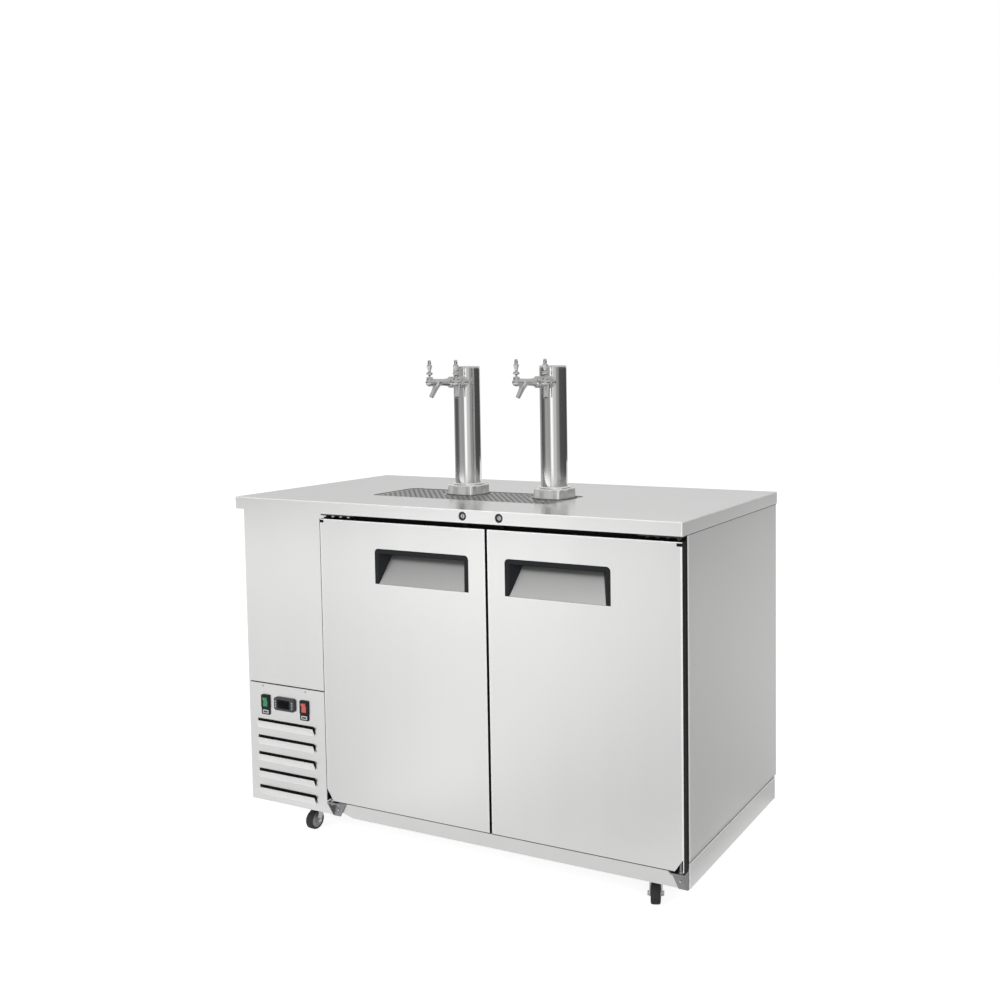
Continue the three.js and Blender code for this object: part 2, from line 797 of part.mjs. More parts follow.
function rearGrille() {
  const [x0, x1] = [shellLeft + machineSheet + seat, machineRight - seat];
  const [z0, z1] = [machineDeckTop + seat, shellTop - machineSheet - seat];
  const [y0, y1] = [shellBack - panelSheet, shellBack];
  const slots = [];
  const through = [y0 - overrun, y1 + overrun];
  for (let i = 0; i < rearSlotRows; i += 1) {
    const z = z0 + rearSlotStart + i * rearSlotPitch;
    slots.push(block([x0 + rearSlotMargin, x1 - rearSlotMargin], through, [z, z + rearSlotHeight]));
  }
  const [inletX, inletZ] = [x1 - rearSlotMargin, z0 + inletDrop];
  slots.push(rod(inletRadius, [inletX, through[0], inletZ], [inletX, through[1], inletZ], 12));
  return cut(block([x0, x1], [y0, y1], [z0, z1]), ...slots);
}

part('rear_grille', rearGrille(), steel, cooler);

// Drip tray

const trayWall = 1.5;
const trayLedge = 8;
const grilleSheet = 3;
const grilleSink = 1;
const grilleInset = 1;
const bossRadius = 63;
const flangeRadius = 50;
const flangeHeight = 34;
const lugRadius = 12;
const lugReach = 51;
const flangeClearance = 3;
const drainLength = 52;
const drainWall = 2.5;
const slotLength = 38;
const slotWidth = 9;
const slotPitchX = 57;
const slotPitchY = 31;
const slotMargin = 16;
const ledgeTop = worktopHeight - grilleSink - grilleSheet - seat;

// The stamped pan: ledge for the grille, two bosses that lift the towers to the worktop, and the drain barb.
function trayPan() {
  const inset = (step, radius) =>
    rounded([trayLeft + step, trayRight - step], [trayFront + step, trayBack - step], radius);
  const outer = carried(inset(seat, trayCorner - seat), [trayFloor, worktopHeight]);
  const top = worktopHeight + overrun;
  const pan = trayFloor + trayWall;
  const upper = carried(inset(seat + trayWall, trayCorner - trayWall), [ledgeTop, top]);
  const lower = carried(inset(seat + trayWall + trayLedge, trayCorner - trayLedge), [pan, top]);
  const bosses = towerPlaces.map((x) =>
    rod(bossRadius, [x, towerY, trayFloor], [x, towerY, worktopHeight - seat], 16).intersect(outer),
  );
  const spoutEnd = trayFloor - drainLength;
  const spout = rod(drainRadius, [drainX, drainY, spoutEnd], [drainX, drainY, pan], 10);
  const lineHoles = towerPlaces.map((x) => {
    const under = trayFloor - overrun;
    return rod(lineHoleRadius, [x, towerY, under], [x, towerY, top], 10);
  });
  const drainLow = [drainX, drainY, spoutEnd - overrun];
  const drainBore = rod(drainRadius - drainWall, drainLow, [drainX, drainY, top], 8);
  return cut(join(cut(outer, upper, lower), ...bosses, spout), ...lineHoles, drainBore);
}

// The perforated grille: slots staggered from row to row, clear of both towers.
function trayGrille() {
  const step = seat + trayWall + grilleInset;
  const heights = [ledgeTop + seat, ledgeTop + seat + grilleSheet];
  const plate = carried(
    rounded([trayLeft + step, trayRight - step], [trayFront + step, trayBack - step], trayCorner - step),
    heights,
  );
  const collar = lugReach + lugRadius + flangeClearance;
  const towerHoles = towerPlaces.map((x) =>
    rod(collar, [x, towerY, heights[0] - overrun], [x, towerY, heights[1] + overrun], 16),
  );
  const slots = [];
  const [spanX, spanY] = [trayRight - trayLeft - 2 * slotMargin, trayDepth - 2 * slotMargin];
  const columns = Math.floor((spanX - slotLength) / slotPitchX);
  const rows = Math.floor((spanY - slotWidth) / slotPitchY);
  for (let row = 0; row <= rows; row += 1) {
    const stagger = row % 2 ? slotPitchX / 2 : 0;
    for (let column = 0; column <= columns; column += 1) {
      const x = trayLeft + slotMargin + slotLength / 2 + column * slotPitchX + stagger;
      const y = trayFront + slotMargin + slotWidth / 2 + row * slotPitchY;
      const nearest = Math.min(...towerPlaces.map((place) => Math.hypot(x - place, y - towerY)));
      const endsClear = x + slotLength / 2 < trayRight - slotMargin;
      if (nearest < collar + slotLength / 2 + slotWidth / 2 || !endsClear) continue;
      const spanOfX = [x - slotLength / 2, x + slotLength / 2];
      const spanOfY = [y - slotWidth / 2, y + slotWidth / 2];
      slots.push(block(spanOfX, spanOfY, [heights[0] - overrun, heights[1] + overrun]));
    }
  }
  return cut(plate, ...towerHoles, ...slots);
}

part('drip_tray_pan', trayPan(), steel, cooler);
part('drip_tray_grille', trayGrille(), galvanised, cooler);

// Beer towers

const towerWall = 2;
const capRim = 2.5;
const capDome = 3;
const shankRadius = 10;
const shankBore = 3.5;
const shankTail = 27;
const shankEnd = 58;
const escutcheonRadius = 15.5;
const escutcheonEnd = 46;
const faucetAngles = [towerTurn - faucetSpread, towerTurn + faucetSpread];
const faucetZ = towerHeight - faucetDrop;

// The column, welded to its cap and to a base flange with four screw lugs, in the tower's own frame.
function towerBody() {
  const column = turned(
    [
      [0, 0],
      [towerRadius, 0],
      [towerRadius, towerHeight - capRim],
      [towerRadius - capRim, towerHeight],
      [0, towerHeight],
    ],
    20,
  );
  const bevel = capDome;
  const flange = turned(
    [
      [0, 0],
      [flangeRadius, 0],
      [flangeRadius, flangeHeight - bevel],
      [flangeRadius - bevel, flangeHeight],
      [0, flangeHeight],
    ],
    20,
  );
  const lugs = [0, 1, 2, 3].map((index) => {
    const angle = towerTurn + Math.PI / 4 + (index * Math.PI) / 2;
    const [x, y] = [lugReach * Math.cos(angle), lugReach * Math.sin(angle)];
    return turned(
      [
        [0, 0],
        [lugRadius, 0],
        [lugRadius, flangeHeight - bevel * 2],
        [0, flangeHeight - bevel],
      ],
      8,
    ).translate([x, y, 0]);
  });
  const inside = rod(towerRadius - towerWall, [0, 0, -overrun], [0, 0, towerHeight - capRim - towerWall], 12);
  const shankHoles = faucetAngles.map((angle) => {
    const [x, y] = [Math.sin(angle) * shankEnd, -Math.cos(angle) * shankEnd];
    return rod(shankRadius + running, [0, 0, faucetZ], [x, y, faucetZ], 10);
  });
  return cut(join(column, flange, ...lugs), inside, ...shankHoles);
}

// One shank, along X from the tower's axis: threaded tube, and an escutcheon that fits the round column.
function shank() {
  const body = join(
    rod(shankRadius, [shankTail, 0, 0], [shankEnd, 0, 0], 10),
    rod(escutcheonRadius, [towerRadius / 2, 0, 0], [escutcheonEnd, 0, 0], 12),
  );
  const column = rod(towerRadius + 2 * seat, [0, 0, -escutcheonRadius * 2], [0, 0, escutcheonRadius * 2], 24);
  const neck = rod(shankRadius, [shankTail, 0, 0], [shankEnd, 0, 0], 10);
  const bore = rod(shankBore, [shankTail - overrun, 0, 0], [shankEnd + overrun, 0, 0], 6);
  return cut(join(cut(body, column), neck), bore);
}

// Faucet body, along X: coupling nut, barrel, rounded nose, bonnet, spout, and the bore for the plunger.
const nutRadius = 17;
const nutStart = 46.5;
const nutEnd = 60;
const nutBevel = 2;
const barrelStart = 59;
const barrelNeck = 13;
const barrelRadius = 10.5;
const barrelTaper = 12;
const noseRadius = 12;
const boreRadius = 4.9;
const pivotRise = 10;
const ballRadius = 5;
const bonnetRadius = 9.5;
const bonnetTop = 16;
const bonnetThroat = 5.8;
const bonnetThroatRise = 11;
const bonnetMouth = 8.8;
const spoutRoot = 9.5;
const spoutRadius = 7;
const spoutBore = 4.5;
const spoutSetback = 27;
const spoutLean = 12;
const spoutDrop = 47;
const plungerRadius = 4.5;
const plungerTail = 66;
const plungerSlot = 4.8;
const plungerSlotWidth = 5.4;
const plungerEnd = 8;
const leverTail = 2.2;
const leverTailDrop = 12;

function faucetBody() {
  const seatX = faucetReach;
  const nut = turned(
    [
      [0, nutStart],
      [nutRadius, nutStart],
      [nutRadius, nutEnd - nutBevel],
      [nutRadius - nutBevel, nutEnd],
      [0, nutEnd],
    ],
    10,
  ).rotate([0, 90, 0]);
  const barrel = turned(
    [
      [0, barrelStart],
      [barrelNeck, barrelStart],
      [barrelRadius, nutEnd + barrelTaper],
      [barrelRadius, seatX],
      [0, seatX],
    ],
    8,
  ).rotate([0, 90, 0]);
  const nose = solid(new THREE.SphereGeometry(noseRadius, 8, 5).translate(seatX, 0, 0));
  const bonnet = rod(bonnetRadius, [seatX, 0, 0], [seatX, 0, bonnetTop], 10);
  const spoutTop = [seatX - spoutSetback, 0, 0];
  const spoutTip = [seatX - spoutSetback + spoutLean, 0, -spoutDrop];
  const spout = rod(spoutRoot, spoutTop, spoutTip, 8, spoutRadius);
  const nutBore = rod(shankRadius + running, [nutStart - overrun, 0, 0], [shankEnd + seat, 0, 0], 10);
  const bore = rod(boreRadius, [shankEnd, 0, 0], [seatX + plungerEnd + running, 0, 0], 8);
  const socket = rod(ballRadius + running, [seatX, 0, 0], [seatX, 0, pivotRise + ballRadius / 2], 10);
  const throat = [seatX, 0, bonnetThroatRise];
  const mouth = rod(bonnetThroat, throat, [seatX, 0, bonnetTop + overrun], 10, bonnetMouth);
  const past = [spoutTip[0] + spoutLean / 4, 0, spoutTip[2] - spoutDrop / 4];
  const channel = rod(spoutBore, spoutTop, past, 6);
  return cut(join(nut, barrel, nose, bonnet, spout), nutBore, bore, socket, mouth, channel);
}

// The plunger, along X: a rod with a cross slot that takes the tail of the lever.
function plunger() {
  const body = rod(plungerRadius, [plungerTail, 0, 0], [faucetReach + plungerEnd, 0, 0], 8);
  const slot = block(
    [faucetReach - plungerSlot, faucetReach + plungerSlot],
    [-plungerSlotWidth / 2, plungerSlotWidth / 2],
    [-plungerRadius * 2, plungerRadius * 2],
  );
  return cut(body, slot);
}

// The lever about its ball: tail below, and neck, collar, tulip and knob above.
const leverRadius = 9;
const leverHeight = 56;
const leverShares = [
  [0.25, 0],
  [0.33, 0.09],
  [0.33, 0.25],
  [1, 0.27],
  [1, 0.375],
  [0.44, 0.41],
  [0.89, 0.68],
  [0.55, 0.75],
  [0.53, 0.965],
  [0.4, 1],
];

function lever() {
  const profile = leverShares.map(([radial, rise]) => [radial * leverRadius, rise * leverHeight]);
  const body = turned([[0, 0], ...profile, [0, leverHeight]], 8);
  const ball = solid(new THREE.SphereGeometry(ballRadius, 6, 4));
  const tail = rod(leverTail, [0, 0, -leverTailDrop], [0, 0, 0], 6);
  return join(body, ball, tail);
}

// Two beer lines of one tower, from the shank tails down the column to a connector plate under the ceiling.
const lineRadius = 4.5;
const linePair = 13;
const lineTailGap = 0.5;
const connectorHeight = 20;
const connectorRadius = 36;
const elbowShare = 0.7;
const crossShare = 0.6;

function beerLines() {
  const end = bayTop - seat - worktopHeight - connectorHeight / 2;
  const lines = faucetAngles.map((angle, index) => {
    const [dx, dy] = [Math.sin(angle), -Math.cos(angle)];
    const side = index ? linePair : -linePair;
    return tube(
      [
        [dx * (shankTail - lineTailGap), dy * (shankTail - lineTailGap), faucetZ],
        [dx * shankTail * elbowShare, dy * shankTail * elbowShare, faucetZ],
        [side * crossShare, 0, faucetZ - shankTail],
        [side, 0, faucetZ - 3 * shankTail],
        [side, 0, faucetZ / 2],
        [side, 0, 0],
        [side, 0, end - connectorHeight],
      ],
      lineRadius,
      8,
      6,
    );
  });
  const half = connectorHeight / 2;
  const plate = rod(connectorRadius, [0, 0, end - half], [0, 0, end + half], 12);
  return join(plate, ...lines);
}

const sides = ['left', 'right'];
sides.forEach((side, towerIndex) => {
  const tower = new THREE.Group();
  tower.position.set(towerPlaces[towerIndex], towerY, worktopHeight);
  cooler.add(tower);
  part(`${side}_tower`, towerBody(), polished, tower);
  part(`${side}_beer_lines`, beerLines(), liner, tower);
  faucetAngles.forEach((angle, faucetIndex) => {
    const name = `faucet_${towerIndex * 2 + faucetIndex + 1}`;
    const faucet = new THREE.Group();
    faucet.position.z = faucetZ;
    faucet.rotation.z = angle - Math.PI / 2;
    tower.add(faucet);
    part(`${name}_shank`, shank(), polished, faucet);
    part(`${name}_body`, faucetBody(), polished, faucet);
    part(`${name}_plunger`, plunger(), polished, faucet);
    const pivot = new THREE.Group();
    pivot.position.set(faucetReach, 0, pivotRise);
    faucet.add(pivot);
    part(`${name}_lever`, lever(), polished, pivot);
  });
});

// Doors, in the frame of their hinge pin: side is 1 where the hinge is at the right, -1 at the left

const plugDepth = 24;
const plugClearance = 5;
const gasketWidth = 16;
const gasketHingeInset = 14;
const gasketEdgeInset = 4;
const gasketBottomInset = 20;
const handleInset = 56;
const handleWidth = 315;
const handleHeight = 100;
const handleDrop = 75;
const handleDepth = 34;
const handleWall = 2.5;
const handleRim = 13;
const handleCorner = 12;
const handleDraft = 36;
const slopeTopDrop = 21;
const topPinRadius = 4;
const bottomPinRadius = 5;
const pinClearance = 0.4;
const topPinReach = 13;
const bottomPinReach = 34;
const notchWidth = 27;
const notchHeight = 35;
const notchSkin = 2.5;
const tabWidth = 11;
const tabHeight = 12;
const tabThickness = 3;

// The handle's hollow: the [depth, height] outline of its wedge, narrowed in plan by the draft.
function handleWedge(side, grow, rimmed) {
  const right = -(doorWidth - pinInset) + handleInset;
  const edge = rimmed ? handleRim : 0;
  const [x0, x1] = [right + edge - grow, right + handleWidth - edge + grow];
  const top = doorTop - handleDrop - (rimmed ? handleRim : 0) + grow;
  const bottom = doorTop - handleDrop - handleHeight;
  const deep = frontY - pinY + handleDepth + grow;
  const slopeTop = doorTop - handleDrop - slopeTopDrop;
  const front = frontY - pinY;
  const wedge = carried(
    [
      [front - overrun, bottom],
      [front - overrun, top],
      [deep, top],
      [deep, slopeTop],
      [front, bottom],
    ],
    side > 0 ? [x0, x1] : [-x1, -x0],
    'x',
  );
  if (!rimmed) return wedge;
  const plan = [
    [x0, front - overrun],
    [x1, front - overrun],
    [x1, front],
    [x1 - handleDraft + handleRim, deep],
    [x0 + handleDraft - handleRim, deep],
    [x0, front],
  ].map(([x, y]) => [x * side, y]);
  return wedge.intersect(carried(plan, [bottom - overrun, top + overrun]));
}

function handleBlank(side, grow) {
  const right = -(doorWidth - pinInset) + handleInset;
  const [x0, x1] = [right - grow, right + handleWidth + grow];
  const top = doorTop - handleDrop + grow;
  const bottom = doorTop - handleDrop - handleHeight;
  const span = side > 0 ? [x0, x1] : [-x1, -x0];
  const outline = new THREE.Shape();
  outline.moveTo(span[0], bottom);
  outline.lineTo(span[1], bottom);
  outline.lineTo(span[1], top - handleCorner);
  outline.absarc(span[1] - handleCorner, top - handleCorner, handleCorner, 0, Math.PI / 2);
  outline.lineTo(span[0] + handleCorner, top);
  outline.absarc(span[0] + handleCorner, top - handleCorner, handleCorner, Math.PI / 2, Math.PI);
  const front = frontY - pinY;
  const from = grow ? front - overrun : front;
  return carried(outline, [from, front + handleDepth + handleWall + grow], 'y').intersect(
    handleWedge(side, handleWall + grow, false),
  );
}

function doorHandle(side) {
  return cut(handleBlank(side, 0), handleWedge(side, 0, true));
}

function doorPanel(side) {
  const front = frontY - pinY;
  const back = front + doorThickness;
  const [x0, x1] = [-(doorWidth - pinInset), pinInset];
  const place = ([a, b]) => [a * side, b * side];
  const skin = block(place([x0, x1]), [front, back], [doorBottom, doorTop]);
  const freeJamb = -(doorWidth - pinInset) - doorMiddleGap / 2 + mullionWidth / 2;
  const hingeJamb = side > 0 ? bayRight - (doorSpanRight - pinInset) : doorSpanLeft + pinInset - bayLeft;
  const plug = block(
    place([freeJamb + plugClearance, hingeJamb - plugClearance]),
    [back - overrun, back + plugDepth],
    [bayFloor + plugClearance, bayTop - plugClearance],
  );
  const recess = handleBlank(side, seat);
  const topBore = [doorTop - topPinReach - overrun, doorTop + overrun];
  const bottomBore = [doorBottom - overrun, doorBottom + bottomPinReach];
  const bores = [
    rod(topPinRadius + pinClearance, [0, 0, topBore[0]], [0, 0, topBore[1]], 12),
    rod(bottomPinRadius + pinClearance, [0, 0, bottomBore[0]], [0, 0, bottomBore[1]], 12),
  ];
  const notch = carried(
    [
      [(pinInset - notchWidth) * side, doorBottom - overrun],
      [(pinInset - notchSkin) * side, doorBottom - overrun],
      [(pinInset - notchSkin) * side, doorBottom + notchHeight],
      [(pinInset - notchWidth) * side, doorBottom],
    ],
    [front - overrun, back - notchSkin],
    'y',
  );
  const lockX = lockPlaces[side > 0 ? 1 : 0];
  const pinX = side > 0 ? doorSpanRight - pinInset : doorSpanLeft + pinInset;
  const tabFront = frontY - pinY + camBack + camPlay;
  const tab = block(
    [lockX - pinX - tabWidth / 2, lockX - pinX + tabWidth / 2],
    [tabFront, tabFront + tabThickness],
    [doorTop - overrun, doorTop + tabHeight],
  );
  return cut(join(skin, plug, tab), recess, ...bores, notch);
}

function doorGasket(side) {
  const back = frontY - pinY + doorThickness;
  const [y0, y1] = [back + seat, faceY - pinY - seat];
  const x0 = -(doorWidth - pinInset) + gasketEdgeInset;
  const x1 = pinInset - gasketHingeInset;
  const [z0, z1] = [doorBottom + gasketBottomInset, doorTop - gasketEdgeInset];
  const place = ([a, b]) => [a * side, b * side];
  return cut(
    block(place([x0, x1]), [y0, y1], [z0, z1]),
    block(
      place([x0 + gasketWidth, x1 - gasketWidth]),
      [y0 - overrun, y1 + overrun],
      [z0 + gasketWidth, z1 - gasketWidth],
    ),
  );
}

// Hinge brackets, in the same frame
const hingePlate = 4;
const topHingeLength = 120;
const topHingeFront = 3;
const bracketDrop = 4;
const bracketThickness = 5;
const bracketReach = 40;
const bracketToe = 14;
const bracketFoot = 14;
const bracketSheet = 4;
const bracketChamfer = 16;

function topHinge(side) {
  const top = worktopUnder - seat;
  const outer = pinInset - notchSkin;
  const plate = block(
    [(outer - topHingeLength) * side, outer * side],
    [frontY - pinY + topHingeFront, faceY - pinY - seat],
    [top - hingePlate, top],
  );
  const pin = rod(topPinRadius, [0, 0, doorTop - topPinReach], [0, 0, top - hingePlate / 2], 12);
  return join(plate, pin);
}

function bottomHinge(side) {
  const top = doorBottom - bracketDrop;
  const back = faceY - pinY - seat;
  const front = frontY - pinY;
  const outer = pinInset;
  const plate = carried(
    [
      [-bracketReach, back],
      [-bracketReach, front + bracketChamfer],
      [-bracketReach + bracketChamfer, front],
      [outer, front],
      [outer, back],
    ].map(([x, y]) => [x * side, y]),
    [top - bracketThickness, top],
  );
  const flange = carried(
    [
      [-bracketReach, top],
      [-bracketFoot, floorClearance],
      [outer, floorClearance],
      [outer, top],
    ].map(([x, z]) => [x * side, z]),
    [back - bracketSheet, back],
    'y',
  );
  const cheek = carried(
    [
      [back, floorClearance],
      [back, top],
      [front, top],
      [front, top - bracketThickness],
      [back - bracketSheet, floorClearance],
    ],
    side > 0 ? [outer - bracketSheet, outer] : [-outer, -outer + bracketSheet],
    'x',
  );
  const core = top - bracketThickness / 2;
  const pin = rod(bottomPinRadius, [0, 0, core], [0, 0, doorBottom + bottomPinReach - seat], 12);
  const nut = rod(bracketToe - bottomPinRadius, [0, 0, top - bracketThickness * 2], [0, 0, core], 6);
  return join(plate, flange, cheek, pin, nut);
}

sides.forEach((name, index) => {
  const side = index ? 1 : -1;
  const pinX = side > 0 ? doorSpanRight - pinInset : doorSpanLeft + pinInset;
  const hinge = new THREE.Group();
  hinge.position.set(pinX, pinY, 0);
  cooler.add(hinge);
  part(`${name}_door`, doorPanel(side), steel, hinge);
  part(`${name}_door_gasket`, doorGasket(side), rubber, hinge);
  part(`${name}_door_handle`, doorHandle(side), blackPlastic, hinge);
  part(`${name}_top_hinge`, topHinge(side), blackPaint, hinge);
  part(`${name}_bottom_hinge`, bottomHinge(side), galvanised, hinge);
});

// Cam locks: a turning plug in the worktop's front edge, and the cam behind it, lying to the left at rest
function camLock() {
  const bezel = rod(lockBezelRadius, [0, 0, 0], [0, lockBezel, 0], 12);
  const plug = rod(lockRadius, [0, 0, 0], [0, camBack - camThickness, 0], 12);
  const cam = carried(
    rounded([-camLength, camWidth / 2], [-camWidth / 2, camWidth / 2], camWidth / 4),
    [camBack - camThickness, camBack],
    'y',
  );
  return join(bezel, plug, cam);
}

lockPlaces.forEach((x, index) => {
  const lock = new THREE.Group();
  lock.position.set(x, frontY, lockZ);
  cooler.add(lock);
  part(`${sides[index]}_lock`, camLock(), polished, lock);
});

// Casters

const axleRadius = 4;
const cheekSheet = 3;
const crownRadius = 24;
const cheekTop = 15;
const cheekFoot = 9;
const wheelPlay = 1.2;
const wheelHubRadius = 17;
const wheelDish = 3;
const treadRound = 4;

// The swivelling fork in the frame of its kingpin, with its trail along -Y.
function casterFork() {
  const crown = cut(
    rod(crownRadius, [0, 0, crownUnder], [0, 0, crownTop], 12),
    rod(kingpinRadius + running, [0, 0, crownUnder - overrun], [0, 0, crownTop + overrun], 10),
  );
  const inner = wheelWidth / 2 + wheelPlay;
  const cheeks = [-1, 1].map((side) =>
    carried(
      [
        [cheekTop, crownUnder + forkCrown / 2],
        [-cheekTop, crownUnder + forkCrown / 2],
        [-casterTrail - cheekFoot, wheelRadius],
        [-casterTrail, wheelRadius - cheekFoot],
        [-casterTrail + cheekFoot, wheelRadius],
      ],
      side > 0 ? [inner, inner + cheekSheet] : [-inner - cheekSheet, -inner],
      'x',
    ),
  );
  const reach = inner + cheekSheet;
  const axle = rod(axleRadius, [-reach, -casterTrail, wheelRadius], [reach, -casterTrail, wheelRadius], 8);
  return join(crown, ...cheeks, axle);
}

// The wheel about its axle, along X: rounded tread and dished sides.
function casterWheel() {
  const half = wheelWidth / 2;
  const bore = axleRadius + running;
  const section = [
    [bore, -half],
    [wheelHubRadius, -half + wheelDish],
    [wheelHubRadius + wheelDish, -half],
    [wheelRadius - treadRound, -half],
    [wheelRadius, -half + treadRound],
    [wheelRadius, half - treadRound],
    [wheelRadius - treadRound, half],
    [wheelHubRadius + wheelDish, half],
    [wheelHubRadius, half - wheelDish],
    [bore, half],
  ];
  return ring(section, 16).rotate([0, 90, 0]);
}

Object.entries(casterPlaces).forEach(([name, [x, y, rest]]) => {
  const swivel = new THREE.Group();
  swivel.position.set(x, y, 0);
  swivel.rotation.z = rest;
  cooler.add(swivel);
  part(`${name}_caster_fork`, casterFork(), galvanised, swivel);
  const axle = new THREE.Group();
  axle.position.set(0, -casterTrail, wheelRadius);
  swivel.add(axle);
  part(`${name}_caster_wheel`, casterWheel(), rubber, axle);
});

export default cooler;
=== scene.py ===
# %% [markdown]
# A two-door draft beer cooler. The CAD model gives every piece its size and place. This script gives the pieces
# their looks: rounded sheet edges, turned and moulded forms, brushed and polished steel, and plain studio light.
# The first cell loads the CAD frame.

# %% The frame
import json
import math

import bmesh
import bpy
import numpy as np
from mathutils import Matrix, Vector

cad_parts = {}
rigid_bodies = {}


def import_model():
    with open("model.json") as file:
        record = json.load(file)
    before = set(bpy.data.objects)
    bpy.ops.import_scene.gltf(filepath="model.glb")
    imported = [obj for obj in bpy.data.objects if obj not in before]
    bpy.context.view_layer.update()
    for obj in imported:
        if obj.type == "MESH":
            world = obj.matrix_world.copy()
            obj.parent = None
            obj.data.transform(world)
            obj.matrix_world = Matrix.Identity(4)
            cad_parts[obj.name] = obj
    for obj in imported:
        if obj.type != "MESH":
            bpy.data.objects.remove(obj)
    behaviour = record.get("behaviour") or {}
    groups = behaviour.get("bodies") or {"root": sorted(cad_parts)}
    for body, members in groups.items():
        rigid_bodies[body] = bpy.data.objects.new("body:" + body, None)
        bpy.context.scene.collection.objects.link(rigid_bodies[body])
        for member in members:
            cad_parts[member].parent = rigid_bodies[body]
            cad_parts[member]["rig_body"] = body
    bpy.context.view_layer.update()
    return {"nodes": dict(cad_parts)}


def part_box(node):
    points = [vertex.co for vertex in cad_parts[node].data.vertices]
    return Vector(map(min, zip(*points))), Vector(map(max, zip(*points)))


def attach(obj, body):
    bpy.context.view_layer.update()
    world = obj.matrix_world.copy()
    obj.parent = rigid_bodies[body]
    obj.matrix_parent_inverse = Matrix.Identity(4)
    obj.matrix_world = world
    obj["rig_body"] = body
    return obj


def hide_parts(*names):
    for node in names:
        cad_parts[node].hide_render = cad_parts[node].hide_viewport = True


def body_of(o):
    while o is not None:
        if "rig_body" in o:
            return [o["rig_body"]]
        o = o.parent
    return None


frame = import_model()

mm = 0.001
nodes = frame["nodes"]


def box_of(node):
    """The lowest and the highest corner of a CAD node, in millimetres."""
    return np.array(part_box(node)) / mm


def new_object(name, data):
    thing = bpy.data.objects.new(name, data)
    bpy.context.scene.collection.objects.link(thing)
    return thing


print("frame loaded:", len(nodes), "nodes")

# %% [markdown]
# The camera stands to the right of the cooler at eye height. Its place came from the corners of the worktop, the
# doors and the base in the photograph. The small shift moves the frame, because the picture was cropped.

# %% Camera
yaw, pitch, roll = (math.radians(turn) for turn in (-25.757, -3.745, -0.492))
forward = Vector((math.sin(yaw) * math.cos(pitch), math.cos(yaw) * math.cos(pitch), math.sin(pitch)))
level_right = forward.cross(Vector((0, 0, 1))).normalized()
level_up = level_right.cross(forward)
right = level_right * math.cos(roll) + level_up * math.sin(roll)
up = level_up * math.cos(roll) - level_right * math.sin(roll)
camera_data = bpy.data.cameras.new("camera")
camera_data.sensor_width = 36
picture_width, focal_length = 1000, 1111.5  # in pixels of the photograph
camera_data.lens = focal_length / picture_width * camera_data.sensor_width
camera_data.shift_x, camera_data.shift_y = -0.14, -0.06
camera_data.clip_end = 200
camera = new_object("camera", camera_data)
camera.matrix_world = Matrix((right, up, -forward)).transposed().to_4x4()
camera.location = (1.8118, -2.8255, 1.3989)
bpy.context.scene.camera = camera
print("camera", camera_data.lens, "mm")

# %% [markdown]
# Most of the cooler's metal is satin stainless sheet: a fine grain that runs one way. The grain is the same effect
# on every steel, so it is one node group. It takes stretched coordinates, and gives a tone, a roughness and a height.
# The helpers before it each add a few nodes to a shader tree.

# %% Grain group
FLOAT, COLOR, VECTOR = "NodeSocketFloat", "NodeSocketColor", "NodeSocketVector"
SURFACE_INPUTS = {"Vector": VECTOR, "Tone": COLOR, "Contrast": FLOAT, "Roughness": FLOAT, "Spread": FLOAT}
SURFACE_OUTPUTS = {"Color": COLOR, "Roughness": FLOAT, "Height": FLOAT}


def new_material(name):
    material = bpy.data.materials.new(name)
    material.use_nodes = True
    return material, material.node_tree


def new_group(name):
    """A shader node group with the sockets of a surface effect, and its input and output nodes."""
    group = bpy.data.node_groups.new(name, "ShaderNodeTree")
    for label, kind in SURFACE_INPUTS.items():
        group.interface.new_socket(label, in_out="INPUT", socket_type=kind)
    for label, kind in SURFACE_OUTPUTS.items():
        group.interface.new_socket(label, in_out="OUTPUT", socket_type=kind)
    return group, group.nodes.new("NodeGroupInput"), group.nodes.new("NodeGroupOutput")


def math_node(tree, operation, a, b):
    """One arithmetic node: a and b are sockets or numbers."""
    node = tree.nodes.new("ShaderNodeMath")
    node.operation = operation
    for socket, value in zip(node.inputs, (a, b)):
        if isinstance(value, (int, float)):
            socket.default_value = value
        else:
            tree.links.new(value, socket)
    return node.outputs[0]


def ramp(tree, value, low, high, from_level, to_level):
    """A level that runs evenly from one value to another between two places, and stays there beyond them."""
    node = tree.nodes.new("ShaderNodeMapRange")
    for socket, number in zip(node.inputs[1:5], (low, high, from_level, to_level)):
        socket.default_value = number
    tree.links.new(value, node.inputs["Value"])
    return node.outputs[0]


def place_outputs(tree):
    """The sockets X, Y and Z of the place on the object."""
    place = tree.nodes.new("ShaderNodeSeparateXYZ")
    tree.links.new(tree.nodes.new("ShaderNodeTexCoord").outputs["Object"], place.inputs[0])
    return place.outputs


def scaled(tree, colour, factor):
    """A colour times a factor."""
    scale = tree.nodes.new("ShaderNodeVectorMath")
    scale.operation = "SCALE"
    tree.links.new(colour, scale.inputs[0])
    tree.links.new(factor, scale.inputs["Scale"])
    return scale.outputs[0]


def noise_signal(tree, vector, scale, detail):
    """Noise about zero."""
    noise = tree.nodes.new("ShaderNodeTexNoise")
    noise.inputs["Scale"].default_value = scale
    noise.inputs["Detail"].default_value = detail
    tree.links.new(vector, noise.inputs["Vector"])
    return math_node(tree, "SUBTRACT", noise.outputs["Fac"], 0.5)


